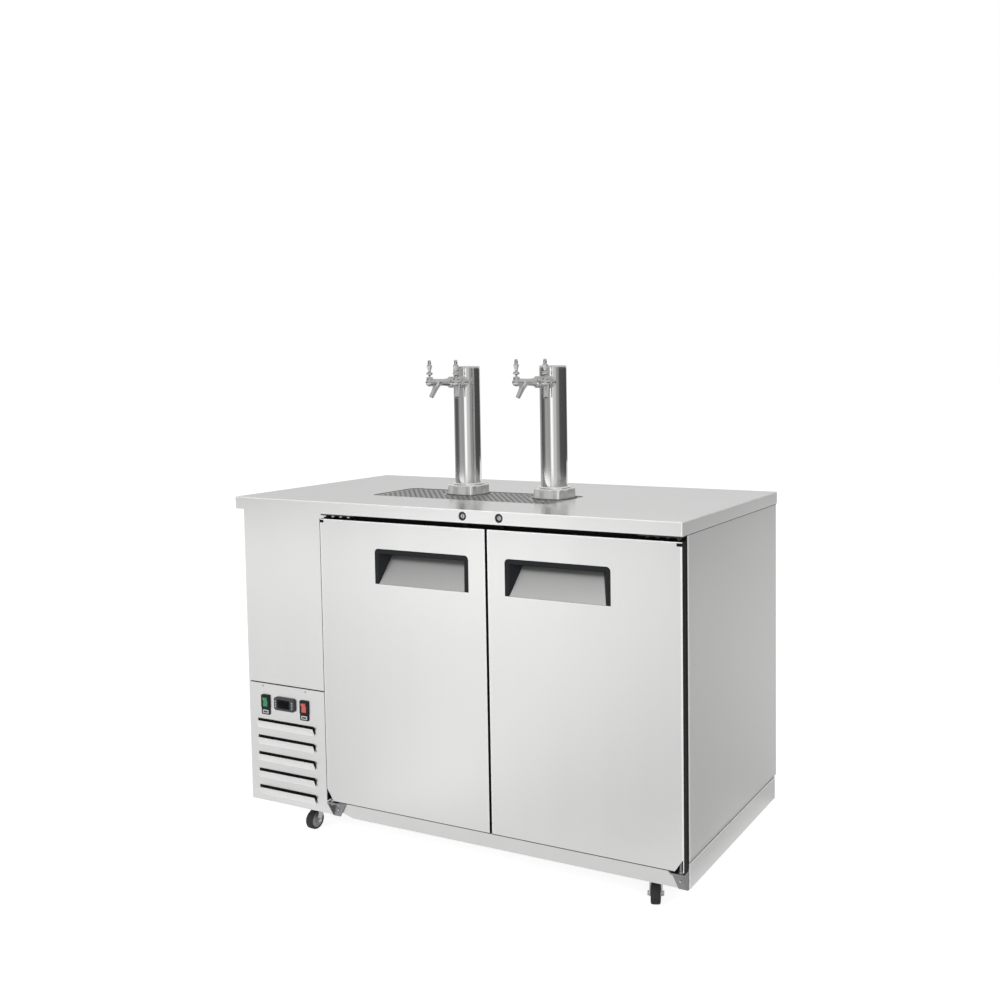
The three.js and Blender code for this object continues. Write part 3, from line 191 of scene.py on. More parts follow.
def finish_surface(tree, group_in, group_out, small, share, large):
    """Tone times (1 + contrast * signal), and roughness + spread * signal. The signal, from about -0.5 to 0.5, is
    the large pattern plus a share of the small one."""
    signal = math_node(tree, "ADD", math_node(tree, "MULTIPLY", small, share), large)
    factor = math_node(tree, "ADD", math_node(tree, "MULTIPLY", signal, group_in.outputs["Contrast"]), 1.0)
    rough = math_node(tree, "MULTIPLY", signal, group_in.outputs["Spread"])
    rough = math_node(tree, "ADD", rough, group_in.outputs["Roughness"])
    tree.links.new(scaled(tree, group_in.outputs["Tone"], factor), group_out.inputs["Color"])
    tree.links.new(rough, group_out.inputs["Roughness"])
    tree.links.new(signal, group_out.inputs["Height"])


grain, group_in, group_out = new_group("Brushed grain")
fine = noise_signal(grain, group_in.outputs["Vector"], 1.0, 4.0)
broad = noise_signal(grain, group_in.outputs["Vector"], 0.045, 2.0)
finish_surface(grain, group_in, group_out, fine, 0.45, broad)
print("group", grain.name)

# %% [markdown]
# Moulded plastic, rubber and paint share another effect: a fine sparkle-free stipple with slow clouds of tone, from
# the mould and from handling. Plated and cast metal have spangles instead, which a Voronoi pattern gives.

# %% Stipple and spangle groups
stipple, group_in, group_out = new_group("Moulded stipple")
pores = noise_signal(stipple, group_in.outputs["Vector"], 1.0, 2.0)
clouds = noise_signal(stipple, group_in.outputs["Vector"], 0.03, 3.0)
finish_surface(stipple, group_in, group_out, pores, 0.5, clouds)

spangle, group_in, group_out = new_group("Plated spangle")
cells = spangle.nodes.new("ShaderNodeTexVoronoi")
cells.inputs["Scale"].default_value = 1.0
spangle.links.new(group_in.outputs["Vector"], cells.inputs["Vector"])
facet = math_node(spangle, "SUBTRACT", cells.outputs["Distance"], 0.4)
haze = noise_signal(spangle, group_in.outputs["Vector"], 0.3, 3.0)
finish_surface(spangle, group_in, group_out, facet, 0.5, haze)
print("groups", stipple.name, spangle.name)

# %% [markdown]
# One builder makes every material: coordinates go through an effect into the shader, with relief where it's asked
# for. The steels differ in tone, in gloss and in which way they were brushed: upright on the front and sides, along
# the length on the worktop, and hardly at all on the polished columns and faucets.

# %% Materials
def finish(name, effect, tone, roughness, stretch, contrast, spread, bump=0.0, **shader_values):
    """A material: object coordinates, stretched (repeats a metre, one number or one per axis), feed an effect."""
    material, tree = new_material(name)
    shader = tree.nodes["Principled BSDF"]
    coordinates = tree.nodes.new("ShaderNodeTexCoord")
    mapping = tree.nodes.new("ShaderNodeMapping")
    mapping.inputs["Scale"].default_value = stretch if isinstance(stretch, tuple) else (stretch,) * 3
    surface = tree.nodes.new("ShaderNodeGroup")
    surface.node_tree = effect
    for label, value in {"Tone": (*tone, 1), "Contrast": contrast, "Roughness": roughness, "Spread": spread}.items():
        surface.inputs[label].default_value = value
    tree.links.new(coordinates.outputs["Object"], mapping.inputs["Vector"])
    tree.links.new(mapping.outputs["Vector"], surface.inputs["Vector"])
    tree.links.new(surface.outputs["Color"], shader.inputs["Base Color"])
    tree.links.new(surface.outputs["Roughness"], shader.inputs["Roughness"])
    if bump:
        relief = tree.nodes.new("ShaderNodeBump")
        relief.inputs["Strength"].default_value = bump
        relief.inputs["Distance"].default_value = 0.2 * mm
        tree.links.new(surface.outputs["Height"], relief.inputs["Height"])
        tree.links.new(relief.outputs["Normal"], shader.inputs["Normal"])
    for label, value in shader_values.items():
        shader.inputs[label.replace("_", " ").title().replace("Ior", "IOR")].default_value = value
    return material


def steel(name, level, roughness, stretch, contrast, spread, bump=0.0, metallic=1.0):
    """A nearly neutral grey metal with the brushed grain."""
    tone = (level, level, level * 0.992)
    return finish(name, grain, tone, roughness, stretch, contrast, spread, bump, metallic=metallic)


upright = (260, 260, 1.6)
along = (1.6, 260, 260)
satin_steel = steel("satin steel", 0.74, 0.34, upright, 0.05, 0.06, 0.04)
door_steel = steel("door steel", 0.765, 0.32, upright, 0.04, 0.06, 0.04)
panel_steel = steel("panel steel", 0.81, 0.32, upright, 0.04, 0.06, 0.04)
worktop_steel = steel("worktop steel", 0.75, 0.2, along, 0.04, 0.05, 0.03)
# Painted highlight: a brighter, half-metallic steel for thin strips along folds and edges, standing in for the light
# they catch.
painted_highlight_edge = steel("painted edge highlight", 0.96, 0.26, upright, 0.03, 0.04, metallic=0.35)
# Painted highlight: the louvres are pressed from the panel's sheet, but their steel is made brighter than the
# panel's.
louvre_highlight_steel = steel("pressed louvre steel, painted bright", 0.98, 0.3, upright, 0.03, 0.05, 0.03, 0.2)
flange_steel = steel("turned flange steel", 0.95, 0.2, (60, 60, 200), 0.08, 0.06, metallic=0.65)
faucet_steel = steel("cast faucet steel", 0.6, 0.08, 90, 0.06, 0.03)
lock_steel = steel("dark chrome", 0.07, 0.16, 80, 0.1, 0.05)
hinge_steel = finish("dull hinge steel", spangle, (0.3, 0.3, 0.31), 0.42, 200, 0.15, 0.1, 0.05, metallic=1.0)
# Painted shade: the tray's pan under the grille is made much darker than the grille's steel.
painted_shade_pan_steel = steel("shaded tray steel", 0.17, 0.4, along, 0.1, 0.1, 0.05)
tray_steel = steel("tray steel", 0.34, 0.34, along, 0.1, 0.1, 0.05)
polished_steel = steel("polished steel", 0.8, 0.08, (60, 60, 2), 0.02, 0.01)
zinc = finish("zinc plate", spangle, (0.6, 0.61, 0.63), 0.34, 160, 0.12, 0.12, 0.05, metallic=1.0)
fins = finish("aluminium fins", spangle, (0.62, 0.63, 0.64), 0.42, 90, 0.12, 0.1, metallic=1.0)
liner = finish("embossed liner", spangle, (0.74, 0.75, 0.76), 0.42, 120, 0.06, 0.08, 0.12, metallic=0.7)
black_moulding = finish(
    "black moulding", stipple, (0.011, 0.013, 0.015), 0.46, 900, 0.3, 0.12, 0.12, specular_ior_level=0.22)
# Black plastic for door edges and the breaker strip, also used as painted shade and shadow in slits, gaps and the key
# slot.
black_strip_and_painted_shade = finish(
    "black edge strip and painted shade", stipple, (0.007, 0.007, 0.008), 0.55, 700, 0.3, 0.15, 0.1, specular_ior_level=0.15)
bezel_grey = finish("grey bezel", stipple, (0.06, 0.065, 0.075), 0.4, 900, 0.2, 0.1, 0.1, specular_ior_level=0.3)
enamel = finish("black enamel", stipple, (0.014, 0.014, 0.015), 0.3, 300, 0.3, 0.12, 0.08)
rubber = finish("rubber", stipple, (0.03, 0.03, 0.031), 0.72, 600, 0.3, 0.1, 0.2)
wheel_hub = finish("wheel hub", stipple, (0.4, 0.405, 0.41), 0.4, 500, 0.12, 0.1, 0.1)
hose = finish("beer hose", stipple, (0.72, 0.73, 0.7), 0.3, 300, 0.06, 0.05, 0.05)
door_liner = finish("door liner", stipple, (0.66, 0.67, 0.67), 0.4, 400, 0.05, 0.06, 0.08)
label_print = finish("label face", stipple, (0.62, 0.64, 0.67), 0.4, 900, 0.05, 0.05)
display_glass = finish("display", stipple, (0.003, 0.003, 0.004), 0.12, 200, 0.2, 0.03, specular_ior_level=0.08)
green_lens = finish("green lens", stipple, (0.02, 0.3, 0.11), 0.2, 400, 0.15, 0.05, coat_weight=0.5)
red_lens = finish("red lens", stipple, (0.72, 0.11, 0.1), 0.2, 400, 0.15, 0.05, coat_weight=0.5)
copper = finish("copper pipe", grain, (0.62, 0.3, 0.17), 0.3, 200, 0.1, 0.1, metallic=1.0)
print("materials", len(bpy.data.materials))

# %% [markdown]
# The steel slope behind a handle gets darker with height, towards its top, where the frame shades it.

# %% Shaded slope
slope_steel = steel("shaded slope steel", 0.9, 0.32, upright, 0.04, 0.06, 0.04)
slope_bottom, slope_top, top_level = 0.8, 0.884, 0.6
tree = slope_steel.node_tree
shade = ramp(tree, place_outputs(tree)["Z"], slope_bottom, slope_top, 1.0, top_level)
shaded = scaled(tree, tree.nodes["Group"].outputs["Color"], shade)
tree.links.new(shaded, tree.nodes["Principled BSDF"].inputs["Base Color"])
print("slope shaded")

# %% [markdown]
# Every new form is a row of cross-sections: closed loops of points, joined by quads and closed by a cap at both ends.
# The helpers below work in millimetres on whole arrays, as the CAD source does, and make() turns them into an object.

# %% Shape helpers
def loft(loops, mat=0, closed=False):
    """A skin over (K, N, 3) points: quad (i, j) joins points j and j+1 of loop i to those of loop i+1."""
    loops = np.asarray(loops, float)
    count, size = loops.shape[:2]
    i = np.arange(count if closed else count - 1)[:, None]
    j = np.arange(size)[None, :]
    after, ahead = (i + 1) % count, (j + 1) % size
    quads = np.stack([i * size + j, i * size + ahead, after * size + ahead, after * size + j], axis=-1)
    faces = quads.reshape(-1, 4).tolist()
    if not closed:
        faces += [list(range(size))[::-1], list(range((count - 1) * size, count * size))]
    return {"points": loops.reshape(-1, 3), "faces": faces, "mats": [mat] * len(faces)}


def axes(direction):
    """Three unit vectors at right angles, the last along direction."""
    third = np.asarray(direction, float) / np.linalg.norm(direction)
    seed = np.array([0, 0, 1.0]) if abs(third[2]) < 0.9 else np.array([1.0, 0, 0])
    first = np.cross(seed, third)
    first /= np.linalg.norm(first)
    return first, np.cross(third, first), third


def revolved(profile, origin=(0, 0, 0), direction=(0, 0, 1), count=40, mat=0, closed=False):
    """A turned form: point (r, h) of the profile goes to origin + r*(cos a, sin a) across + h along direction."""
    first, second, third = axes(direction)
    angle = np.linspace(0, 2 * np.pi, count, endpoint=False)[None, :, None]
    r, h = np.asarray(profile, float).T[:, :, None, None]
    loops = np.asarray(origin, float) + r * (np.cos(angle) * first + np.sin(angle) * second) + h * third
    return loft(loops, mat, closed)


arc_points = 6


def rounded_loop(half_u, half_v, corner):
    """A rounded rectangle about zero: a quarter circle of arc_points at each corner."""
    corner = min(corner, half_u, half_v)
    angle = (np.arange(4)[:, None] * 0.5 + np.linspace(0, 0.5, arc_points)[None, :]) * np.pi
    signs = np.array([[1, 1], [-1, 1], [-1, -1], [1, -1]])[:, None, :]
    centre = signs * np.array([half_u - corner, half_v - corner])
    return (centre + corner * np.stack([np.cos(angle), np.sin(angle)], -1)).reshape(-1, 2)


def rounded_block(x, y, z, axis, corner, fillet, mat=0, steps=4):
    """A block with round corners in its face across axis, whose rims are quarter-circle fillets of that radius."""
    spans = np.array([x, y, z], float)
    w = "xyz".index(axis)
    uv = [k for k in range(3) if k != w]
    half, middle = (spans[:, 1] - spans[:, 0]) / 2, (spans[:, 1] + spans[:, 0]) / 2
    turn = np.linspace(0, np.pi / 2, steps)
    inset, rise = fillet * (1 - np.sin(turn)), fillet * (1 - np.cos(turn))
    insets = np.concatenate([inset, inset[::-1]])
    places = np.concatenate([spans[w, 0] + rise, spans[w, 1] - rise[::-1]])
    loops = np.zeros((len(insets), 4 * arc_points, 3))
    for loop, step, place in zip(loops, insets, places):
        loop[:, uv] = rounded_loop(*(half[uv] - step), max(corner - step, 0.05)) + middle[uv]
        loop[:, w] = place
    return loft(loops, mat)


def swept(points, radii, count=16, mat=0):
    """A round tube: a circle of radius radii[i] across the path at points[i]."""
    points = np.asarray(points, float)
    tangent = np.gradient(points, axis=0)
    tangent /= np.linalg.norm(tangent, axis=1)[:, None]
    seed = np.array([0.31, 0.95, 0.03])
    first = np.cross(seed, tangent)
    first /= np.linalg.norm(first, axis=1)[:, None]
    second = np.cross(tangent, first)
    angle = np.linspace(0, 2 * np.pi, count, endpoint=False)[None, :, None]
    radii = np.broadcast_to(radii, len(points))[:, None, None]
    loops = points[:, None] + radii * (np.cos(angle) * first[:, None] + np.sin(angle) * second[:, None])
    return loft(loops, mat)


def make(name, shapes, body, materials, replaces=()):
    """One object from shapes in millimetres, put together and with all faces turned outwards."""
    starts = np.cumsum([0] + [len(shape["points"]) for shape in shapes])
    points = np.concatenate([shape["points"] for shape in shapes]) * mm
    faces = [[i + start for i in face] for shape, start in zip(shapes, starts) for face in shape["faces"]]
    mesh = bpy.data.meshes.new(name)
    mesh.from_pydata(points, [], faces)
    mesh.polygons.foreach_set("material_index", np.concatenate([shape["mats"] for shape in shapes]))
    work = bmesh.new()
    work.from_mesh(mesh)
    bmesh.ops.recalc_face_normals(work, faces=work.faces)
    work.to_mesh(mesh)
    work.free()
    return place_piece(name, mesh, body, materials, replaces, 35)


def place_piece(name, mesh, body, materials, replaces, angle):
    """Gives a mesh its materials and body, and smooth shading across edges up to the angle, in degrees."""
    for material in materials:
        mesh.materials.append(material)
    mesh.polygons.foreach_set("use_smooth", np.ones(len(mesh.polygons), bool))
    mesh.set_sharp_from_angle(angle=math.radians(angle))
    mesh.update()
    piece = new_object(name, mesh)
    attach(piece, body)
    if replaces:
        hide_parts(*replaces)
    return piece


# %% [markdown]
# Folded sheet has a small radius on every edge, and that radius is what catches the light. For such pieces the CAD
# shape is right, so a copy of it is merged, its flat faces are joined, and a Bevel modifier rounds the edges.
# A rule on each face's middle and direction then says which finish it has.

# %% Rounded copies of CAD nodes
fold_angle = math.radians(28)


def softened(node, materials, width, segments=2, choose=None, splits=()):
    """A copy of a CAD node with edges rounded to width millimetres. splits holds pairs of axis and place where its
    faces are cut, and choose then maps face middles and normals to material slots."""
    mesh = nodes[node].data.copy()
    mesh.materials.clear()
    work = bmesh.new()
    work.from_mesh(mesh)
    bmesh.ops.remove_doubles(work, verts=work.verts, dist=0.01 * mm)
    bmesh.ops.dissolve_limit(work, angle_limit=math.radians(0.6), verts=work.verts, edges=work.edges)
    for axis, place in splits:
        every = [*work.verts, *work.edges, *work.faces]
        across = Vector([float(letter == axis) for letter in "xyz"])
        bmesh.ops.bisect_plane(work, geom=every, plane_co=across * place * mm, plane_no=across)
    work.to_mesh(mesh)
    work.free()
    if choose:
        middle, normal = np.zeros((2, len(mesh.polygons) * 3))
        mesh.polygons.foreach_get("center", middle)
        mesh.polygons.foreach_get("normal", normal)
        chosen = choose(middle.reshape(-1, 3) / mm, normal.reshape(-1, 3))
        mesh.polygons.foreach_set("material_index", chosen.astype(int))
    body = body_of(nodes[node])[0]
    piece = place_piece(f"{node}_rounded", mesh, body, materials, (node,), 40)
    bevel = piece.modifiers.new("rounded edges", "BEVEL")
    bevel.width = width * mm
    bevel.segments = segments
    bevel.limit_method = "ANGLE"
    bevel.angle_limit = fold_angle
    bevel.use_clamp_overlap = True
    flatten = piece.modifiers.new("flat faces", "WEIGHTED_NORMAL")
    flatten.mode = "FACE_AREA"
    flatten.weight = 100


# %% [markdown]
# The cabinet: satin sheet outside, an embossed liner in the cold space, and a black breaker strip round the doorway,
# which is what shows as the dark line between doors and cabinet. The folds of the sheet have a painted highlight, and
# the slits over the louvres and the side beside the door have painted shadow.

# %% Cabinet and base
low, high = box_of("cabinet_shell")
machine_right = -412
side_wall, deck = 40, 35
corner_width = 7.0
seam = 2.4
skirt_line = box_of("base_frame")[1, 2] - corner_width * 0.5
fold_z, fold_x = box_of("worktop")[1, 2] - 2.6, 734 - 3.5
louvre_tops = (334, 282, 230, 178, 126)
louvre_x = (-699, -477)


def shell_finish(middle, normal):
    """0 satin outside, 1 liner on the inner faces of the cold space, 2 black on the doorway's face, inside the
    machine bay, and as painted shadow of the door and of the worktop's edge on the side, 3 a painted highlight beside
    the doors."""
    x, y, z = middle.T
    inner = (x > machine_right + side_wall) & (x < high[0] - side_wall) & (y < high[1] - side_wall)
    inner &= (z > low[2] + deck) & (z < high[2] - deck)
    doorway = (np.abs(y - low[1]) < 0.5) & (x > machine_right)
    bay = (x > low[0] + 2) & (x < machine_right) & (y > low[1] + 1) & (y < high[1] - 1)
    bay &= (z > low[2] + 1) & (z < high[2] - 1)
    right_side = (normal[:, 0] > 0.9) & (x > high[0] - 1)
    # Painted shadow: black strips on the right side, beside the door and under the worktop's edge.
    shadow = right_side & ((y < low[1] + corner_width) | (z > high[2] - seam))
    # Painted highlight: the bright strip behind that black one.
    line = right_side & (y < low[1] + 2 * corner_width)
    return np.where(doorway | bay | shadow, 2, np.where(inner, 1, np.where(line, 3, 0)))


def skirt_finish(middle, normal):
    """0 satin, 1 painted highlight lines along the skirt's top and front corner."""
    # Painted highlight: bright lines along the top and the front corner.
    edge = (middle[:, 2] > skirt_line) | (middle[:, 1] < low[1] + corner_width)
    return np.where(edge & (np.abs(normal[:, 0]) > 0.9), 1, 0)


def sheet_finish(middle, normal):
    """0 satin outside, 1 dark on the faces that look back into the machine bay, and painted shade on the end by the
    door.
    """
    door_end = (normal[:, 0] > 0.5) & (middle[:, 0] > machine_right - 3)
    return np.where((normal[:, 1] > 0.5) | (middle[:, 1] > low[1] + 2) | door_end, 1, 0)


def louvre_finish(middle, normal):
    """As the sheet, but 2 for the louvres' faces, whose steel is painted brighter as a highlight."""
    flap = (middle[:, 1] < low[1] - 1) & (normal[:, 1] < -0.2)
    return np.where(flap, 2, sheet_finish(middle, normal))


def painted_slit_shadow(top):
    """Painted shadow of the slit over a louvre: a dark strip along its top edge that turns down beside its right end.
    """
    x0, x1 = louvre_x
    outline = [(x0, -1), (x1, -1), (x1 + 4.5, -17), (x1 + 7, -17), (x1 - 2, 5.5), (x0, 5.5)]
    return loft([[(x, low[1] + depth, top + rise) for x, rise in outline] for depth in (-0.25, 0.4)])


def worktop_finish(middle, normal):
    """0 the brushed top, 1 the folded edge, whose satin is coarser, 2 a painted highlight line along its fold."""
    # Painted highlight: a bright line along the fold of the worktop's edge.
    fold = (middle[:, 2] > fold_z) | ((middle[:, 0] > fold_x) & (normal[:, 1] < -0.9))
    return np.where(np.abs(normal[:, 2]) < 0.5, np.where(fold, 2, 1), 0)


shell_splits = [("y", low[1] + corner_width), ("y", low[1] + 2 * corner_width), ("z", high[2] - seam)]
softened("cabinet_shell", [satin_steel, liner, black_strip_and_painted_shade, painted_highlight_edge], 2.0, 3, shell_finish, shell_splits)
skirt_splits = [shell_splits[0], ("z", skirt_line)]
softened("base_frame", [satin_steel, painted_highlight_edge], 2.4, 3, skirt_finish, skirt_splits)
fold_splits = [("z", fold_z), ("x", fold_x)]
softened("worktop", [worktop_steel, panel_steel, painted_highlight_edge], 1.8, 3, worktop_finish, fold_splits)
softened("upper_left_panel", [panel_steel, black_strip_and_painted_shade], 0.8, 2, sheet_finish)
softened("control_panel", [panel_steel, black_strip_and_painted_shade, louvre_highlight_steel], 0.5, 2, louvre_finish)
# Painted shadow: thin black strips just proud of the panel over each louvre's slit.
make("control_panel_painted_slit_shadows", [painted_slit_shadow(top) for top in louvre_tops], "cabinet", [black_strip_and_painted_shade])
softened("rear_grille", [satin_steel], 0.4)
print("cabinet done")

# %% [markdown]
# Each door is a pan of steel sheet with a black plastic edge all round and a moulded liner behind. The sheet's folds
# along the upright edges and the top have a painted highlight. The handle is a black moulded frame set in the door.
# Its sloped back is steel, so that the hand slides up behind the frame.

# %% Doors
front_y, door_back = -357, -334
door_bottom, door_top = 138, 971
rim_width, fold_width = 2.2, 2.6
clip_width, clip_height = 15, 11
door_edges = [*box_of("left_door")[:, 0], *box_of("right_door")[:, 0]]


def door_finish(middle, normal):
    """0 steel on the front face, 1 black on the edges, in the handle's recess and at the top hinge's clip, 2 the
    liner behind, 3 a painted highlight along the upright edges and the top, where the sheet folds."""
    x, y, z = middle.T
    from_edge = np.min([np.abs(x - edge) for edge in door_edges], axis=0)
    front = (normal[:, 1] < -0.9) & (y < front_y + 0.5) & (z > door_bottom + rim_width)
    front &= (from_edge > rim_width) | (x > door_edges[3] - rim_width)
    # Painted highlight: a bright strip along the upright edges and the top.
    fold = (from_edge < rim_width + fold_width) | (z > door_top - fold_width)
    hinge_side = (x < door_edges[0] + clip_width) | (x > door_edges[3] - clip_width)
    front &= ~(hinge_side & (z > door_top - clip_height) & (z < door_top - fold_width))
    return np.where(front, np.where(fold, 3, 0), np.where(y > door_back + 0.5, 2, 1))


def handle_finish(middle, normal):
    """0 black frame, 1 the steel slope, which faces up and out."""
    return np.where((normal[:, 1] < -0.3) & (normal[:, 2] > 0.2), 1, 0)


heights = (door_bottom + rim_width, door_top - fold_width, door_top - clip_height)
clips = (door_edges[0] + clip_width, door_edges[3] - clip_width)
for side, (x0, x1), clip in zip(("left", "right"), (door_edges[:2], door_edges[2:]), clips):
    splits = [("x", x0 + step) for step in (rim_width, rim_width + fold_width)]
    splits += [("x", x1 - step) for step in (rim_width, rim_width + fold_width)]
    splits += [*(("z", height) for height in heights), ("x", clip)]
    softened(f"{side}_door", [door_steel, black_strip_and_painted_shade, door_liner, painted_highlight_edge], 0.8, 2, door_finish, splits)
    softened(f"{side}_door_handle", [black_moulding, slope_steel], 0.9, 3, handle_finish)
    softened(f"{side}_door_gasket", [rubber], 1.2, 2)
    softened(f"{side}_top_hinge", [enamel], 0.5)
    softened(f"{side}_bottom_hinge", [hinge_steel], 0.6)
print("doors done")

# %% [markdown]
# The beer columns are polished tube with a flat welded cap. The base flange is a ring that swells softly into four
# screw lugs, and its rim is rounded towards the top.

# %% Columns
tower_x, tower_y, tower_turn = (-122, 179), -20, math.radians(-4)
worktop_z = 1021
column_radius, column_height = 40, 386
flange_radius, flange_height = 50, 34
lug_radius, lug_reach, lug_width = 12, 51, 0.23
lug_angles = tower_turn + np.pi / 4 + np.arange(4) * np.pi / 2


def flange_outline(angle):
    """Polar radius of the flange: the ring's radius plus a bell curve, exp(-(off/width)^2), at each lug."""
    off = (angle[:, None] - lug_angles[None, :] + np.pi) % (2 * np.pi) - np.pi
    rise = lug_reach + lug_radius - flange_radius
    return flange_radius + rise * np.exp(-((off / lug_width) ** 2)).sum(axis=1)


def flange(x):
    """Loops of the outline, each drawn in by an inset at its height, then the ring, which closes on the column."""
    count = 180
    angle = np.linspace(0, 2 * np.pi, count, endpoint=False)
    outline = flange_outline(angle)
    ring = np.minimum(outline, flange_radius - 1.5)
    rows = [(0.6, 0), (0, 0.6), (1.6, 24), (2.2, 27), (3.6, 28.8), (5.6, 29.6)]
    loops = [(outline - inset, height) for inset, height in rows]
    top = flange_height
    loops += [(ring, 30.4), (ring, top - 2.2), (ring - 0.8, top - 0.7), (ring - 2.4, top), (column_radius - 1.0, top)]
    across, back = np.cos(angle), np.sin(angle)
    level = np.ones(count)
    return loft([np.stack([x + r * across, tower_y + r * back, (worktop_z + h) * level], -1) for r, h in loops], 1)


def column(x):
    """A tube with a fine groove under its cap: insets from the column's radius, and heights."""
    top = column_height
    rows = [(1, 4), (0, 4), (0, top - 8), (1.1, top - 7.6), (1.1, top - 5.8), (0, top - 5.4), (0, top - 3)]
    rows += [(0.5, top - 1.4), (1.6, top - 0.4), (3.5, top), (20, top), (38, top)]
    return revolved([(column_radius - inset, height) for inset, height in rows], (x, tower_y, worktop_z), count=96)


screw = [(4.6, 0), (4.6, 0.8), (3.8, 1.8), (1.9, 2.1), (1.8, 0.9), (0.4, 0.8)]
screw_reach, screw_z = lug_reach * 1.05, worktop_z + 29
for side, x in zip(("left", "right"), tower_x):
    shapes = [column(x), flange(x)]
    for angle in lug_angles:
        place = (x + screw_reach * math.cos(angle), tower_y + screw_reach * math.sin(angle), screw_z)
        shapes.append(revolved(screw, place, count=20))
    make(f"{side}_column", shapes, "cabinet", [polished_steel, flange_steel], (f"{side}_tower",))
print("columns done")

# %% [markdown]
# A faucet is turned from bar: coupling nut, a body that narrows and swells again at the nose, a bonnet on top, and a
# spout that leaves the body in a soft curve. Lathe profiles about the body's axis give these in one go. Each faucet
# has its origin on the column's axis, and points outwards at its own angle.

# %% Faucets
upward = np.array([0, 0, 1.0])
faucet_z = worktop_z + column_height - 48
faucet_angles = (tower_turn - math.radians(24), tower_turn + math.radians(24))
reach = 122
pivot_rise = 10


def faucet_shapes(origin, out):
    """The body with its coupling nut, the bonnet over the seat, and the spout with its mouth. The spout's path is
    (1-t)^2 start + 2t(1-t) bend + t^2 tip, and its radius shrinks exponentially along it."""
    nut = [(10.4, 46.6), (15.6, 46.6), (17, 47.8), (17, 51), (16.2, 51.8)]
    nut += [(16.2, 53.2), (17, 54), (17, 57.6), (15.4, 59.6), (14, 60.2)]
    neck = [(12.8, 61), (12.2, 63), (11.8, 66), (11, 70), (10.4, 76)]
    neck += [(10.2, 82), (10.2, 88), (10.4, 96), (10.8, 104), (11, 110)]
    nose = [(11.4, 114), (11.9, 118), (12, 122), (11.4, 126), (9.8, 129.4), (7.4, 132), (4, 133.6), (0.6, 134)]
    body = revolved([(2, 46.6), *nut, *neck, *nose], origin, out, 40)
    bonnet = [(8.6, 2), (9.5, 7), (9.5, 12.4), (9, 13.4), (9.5, 14.2)]
    bonnet += [(9.2, 15.6), (8.2, 16), (7.2, 15.6), (6.4, 12), (1, 11.6)]
    top = revolved(bonnet, origin + out * reach, upward, 32)
    t = np.linspace(0, 1, 14)[:, None]
    bends = ((27, 2), (20, -15), (4, -43))  # how far back from the seat, and how far up
    start, bend, tip = (origin + out * (reach - back) + upward * rise for back, rise in bends)
    path = (1 - t) ** 2 * start + 2 * t * (1 - t) * bend + t**2 * tip
    radii = 7.2 + 8.5 * np.exp(-3 * t[:, 0]) - 0.45 * t[:, 0]
    mouth = [(7, -0.2), (6.9, 0.5), (6.2, 0.9), (5.4, 0.7), (4.9, 0), (4.6, -6), (0.5, -6.2)]
    return [body, top, swept(path, radii, 24), revolved(mouth, tip, tip - path[-2], 24)]


def lever_shapes(pivot):
    """A ball on the pivot, a stem, and a waisted knob with a collar."""
    stem = [(1, -11.8), (2, -11), (2.2, -5), (4, -3.2), (5, 0), (4, 3.2)]
    stem += [(3, 5), (3, 10.5), (5, 11.5), (8.6, 13), (9.2, 15.2)]
    collar = [(9.2, 17.4), (8.4, 19.6), (5.4, 21), (4.2, 22.4), (4.1, 24.4)]
    collar += [(4.8, 27), (6.6, 33), (7.9, 38), (7.9, 40), (6.6, 42)]
    knob = [(5, 43), (4.8, 44.4), (5.1, 46), (5, 52), (4.6, 54.6), (3.6, 55.8), (0.6, 56)]
    return [revolved(stem + collar + knob, pivot, upward, 28)]


shank = [(9.9, 30), (9.9, 36.8), (15.4, 37), (15.5, 43.4), (14.8, 45), (13.4, 45.9)]
shank += [(10, 46), (9.9, 57.8), (3.6, 58), (3.5, 50), (0.5, 49.8)]
count = 0
for x in tower_x:
    for angle in faucet_angles:
        count += 1
        origin = np.array([x, tower_y, faucet_z], float)
        out = np.array([math.sin(angle), -math.cos(angle), 0])
        pivot = origin + out * reach + upward * pivot_rise
        name = f"faucet_{count}"
        parts = {
            "body": (faucet_shapes(origin, out), "cabinet"),
            "shank": ([revolved(shank, origin, out, 36)], "cabinet"),
            "lever": (lever_shapes(pivot), f"lever_{count}"),
        }
        for part, (shapes, body) in parts.items():
            make(f"{name}_turned_{part}", shapes, body, [faucet_steel], (f"{name}_{part}",))
        nodes[f"{name}_plunger"].data.materials.clear()
        nodes[f"{name}_plunger"].data.materials.append(polished_steel)
print("faucets done:", count)

# %% [markdown]
# The drip tray's grille is one sheet with staggered oval slots, which lean one way in one row and the other way in
# the next. The slots are cut with a Boolean: one mesh of all the cutters, made as an array of small capsules, and the
# round clearances of the columns.

# %% Drip tray
tray_low, tray_high = box_of("drip_tray_grille")
slot_pitch, slot_size, slot_lean = (19, 11.5), (13.5, 5.2), math.radians(32)
collar_radius, tray_rim = 66, (20, 14)
# The pan's dark steel is painted shade under the grille.
softened("drip_tray_pan", [painted_shade_pan_steel], 0.5)


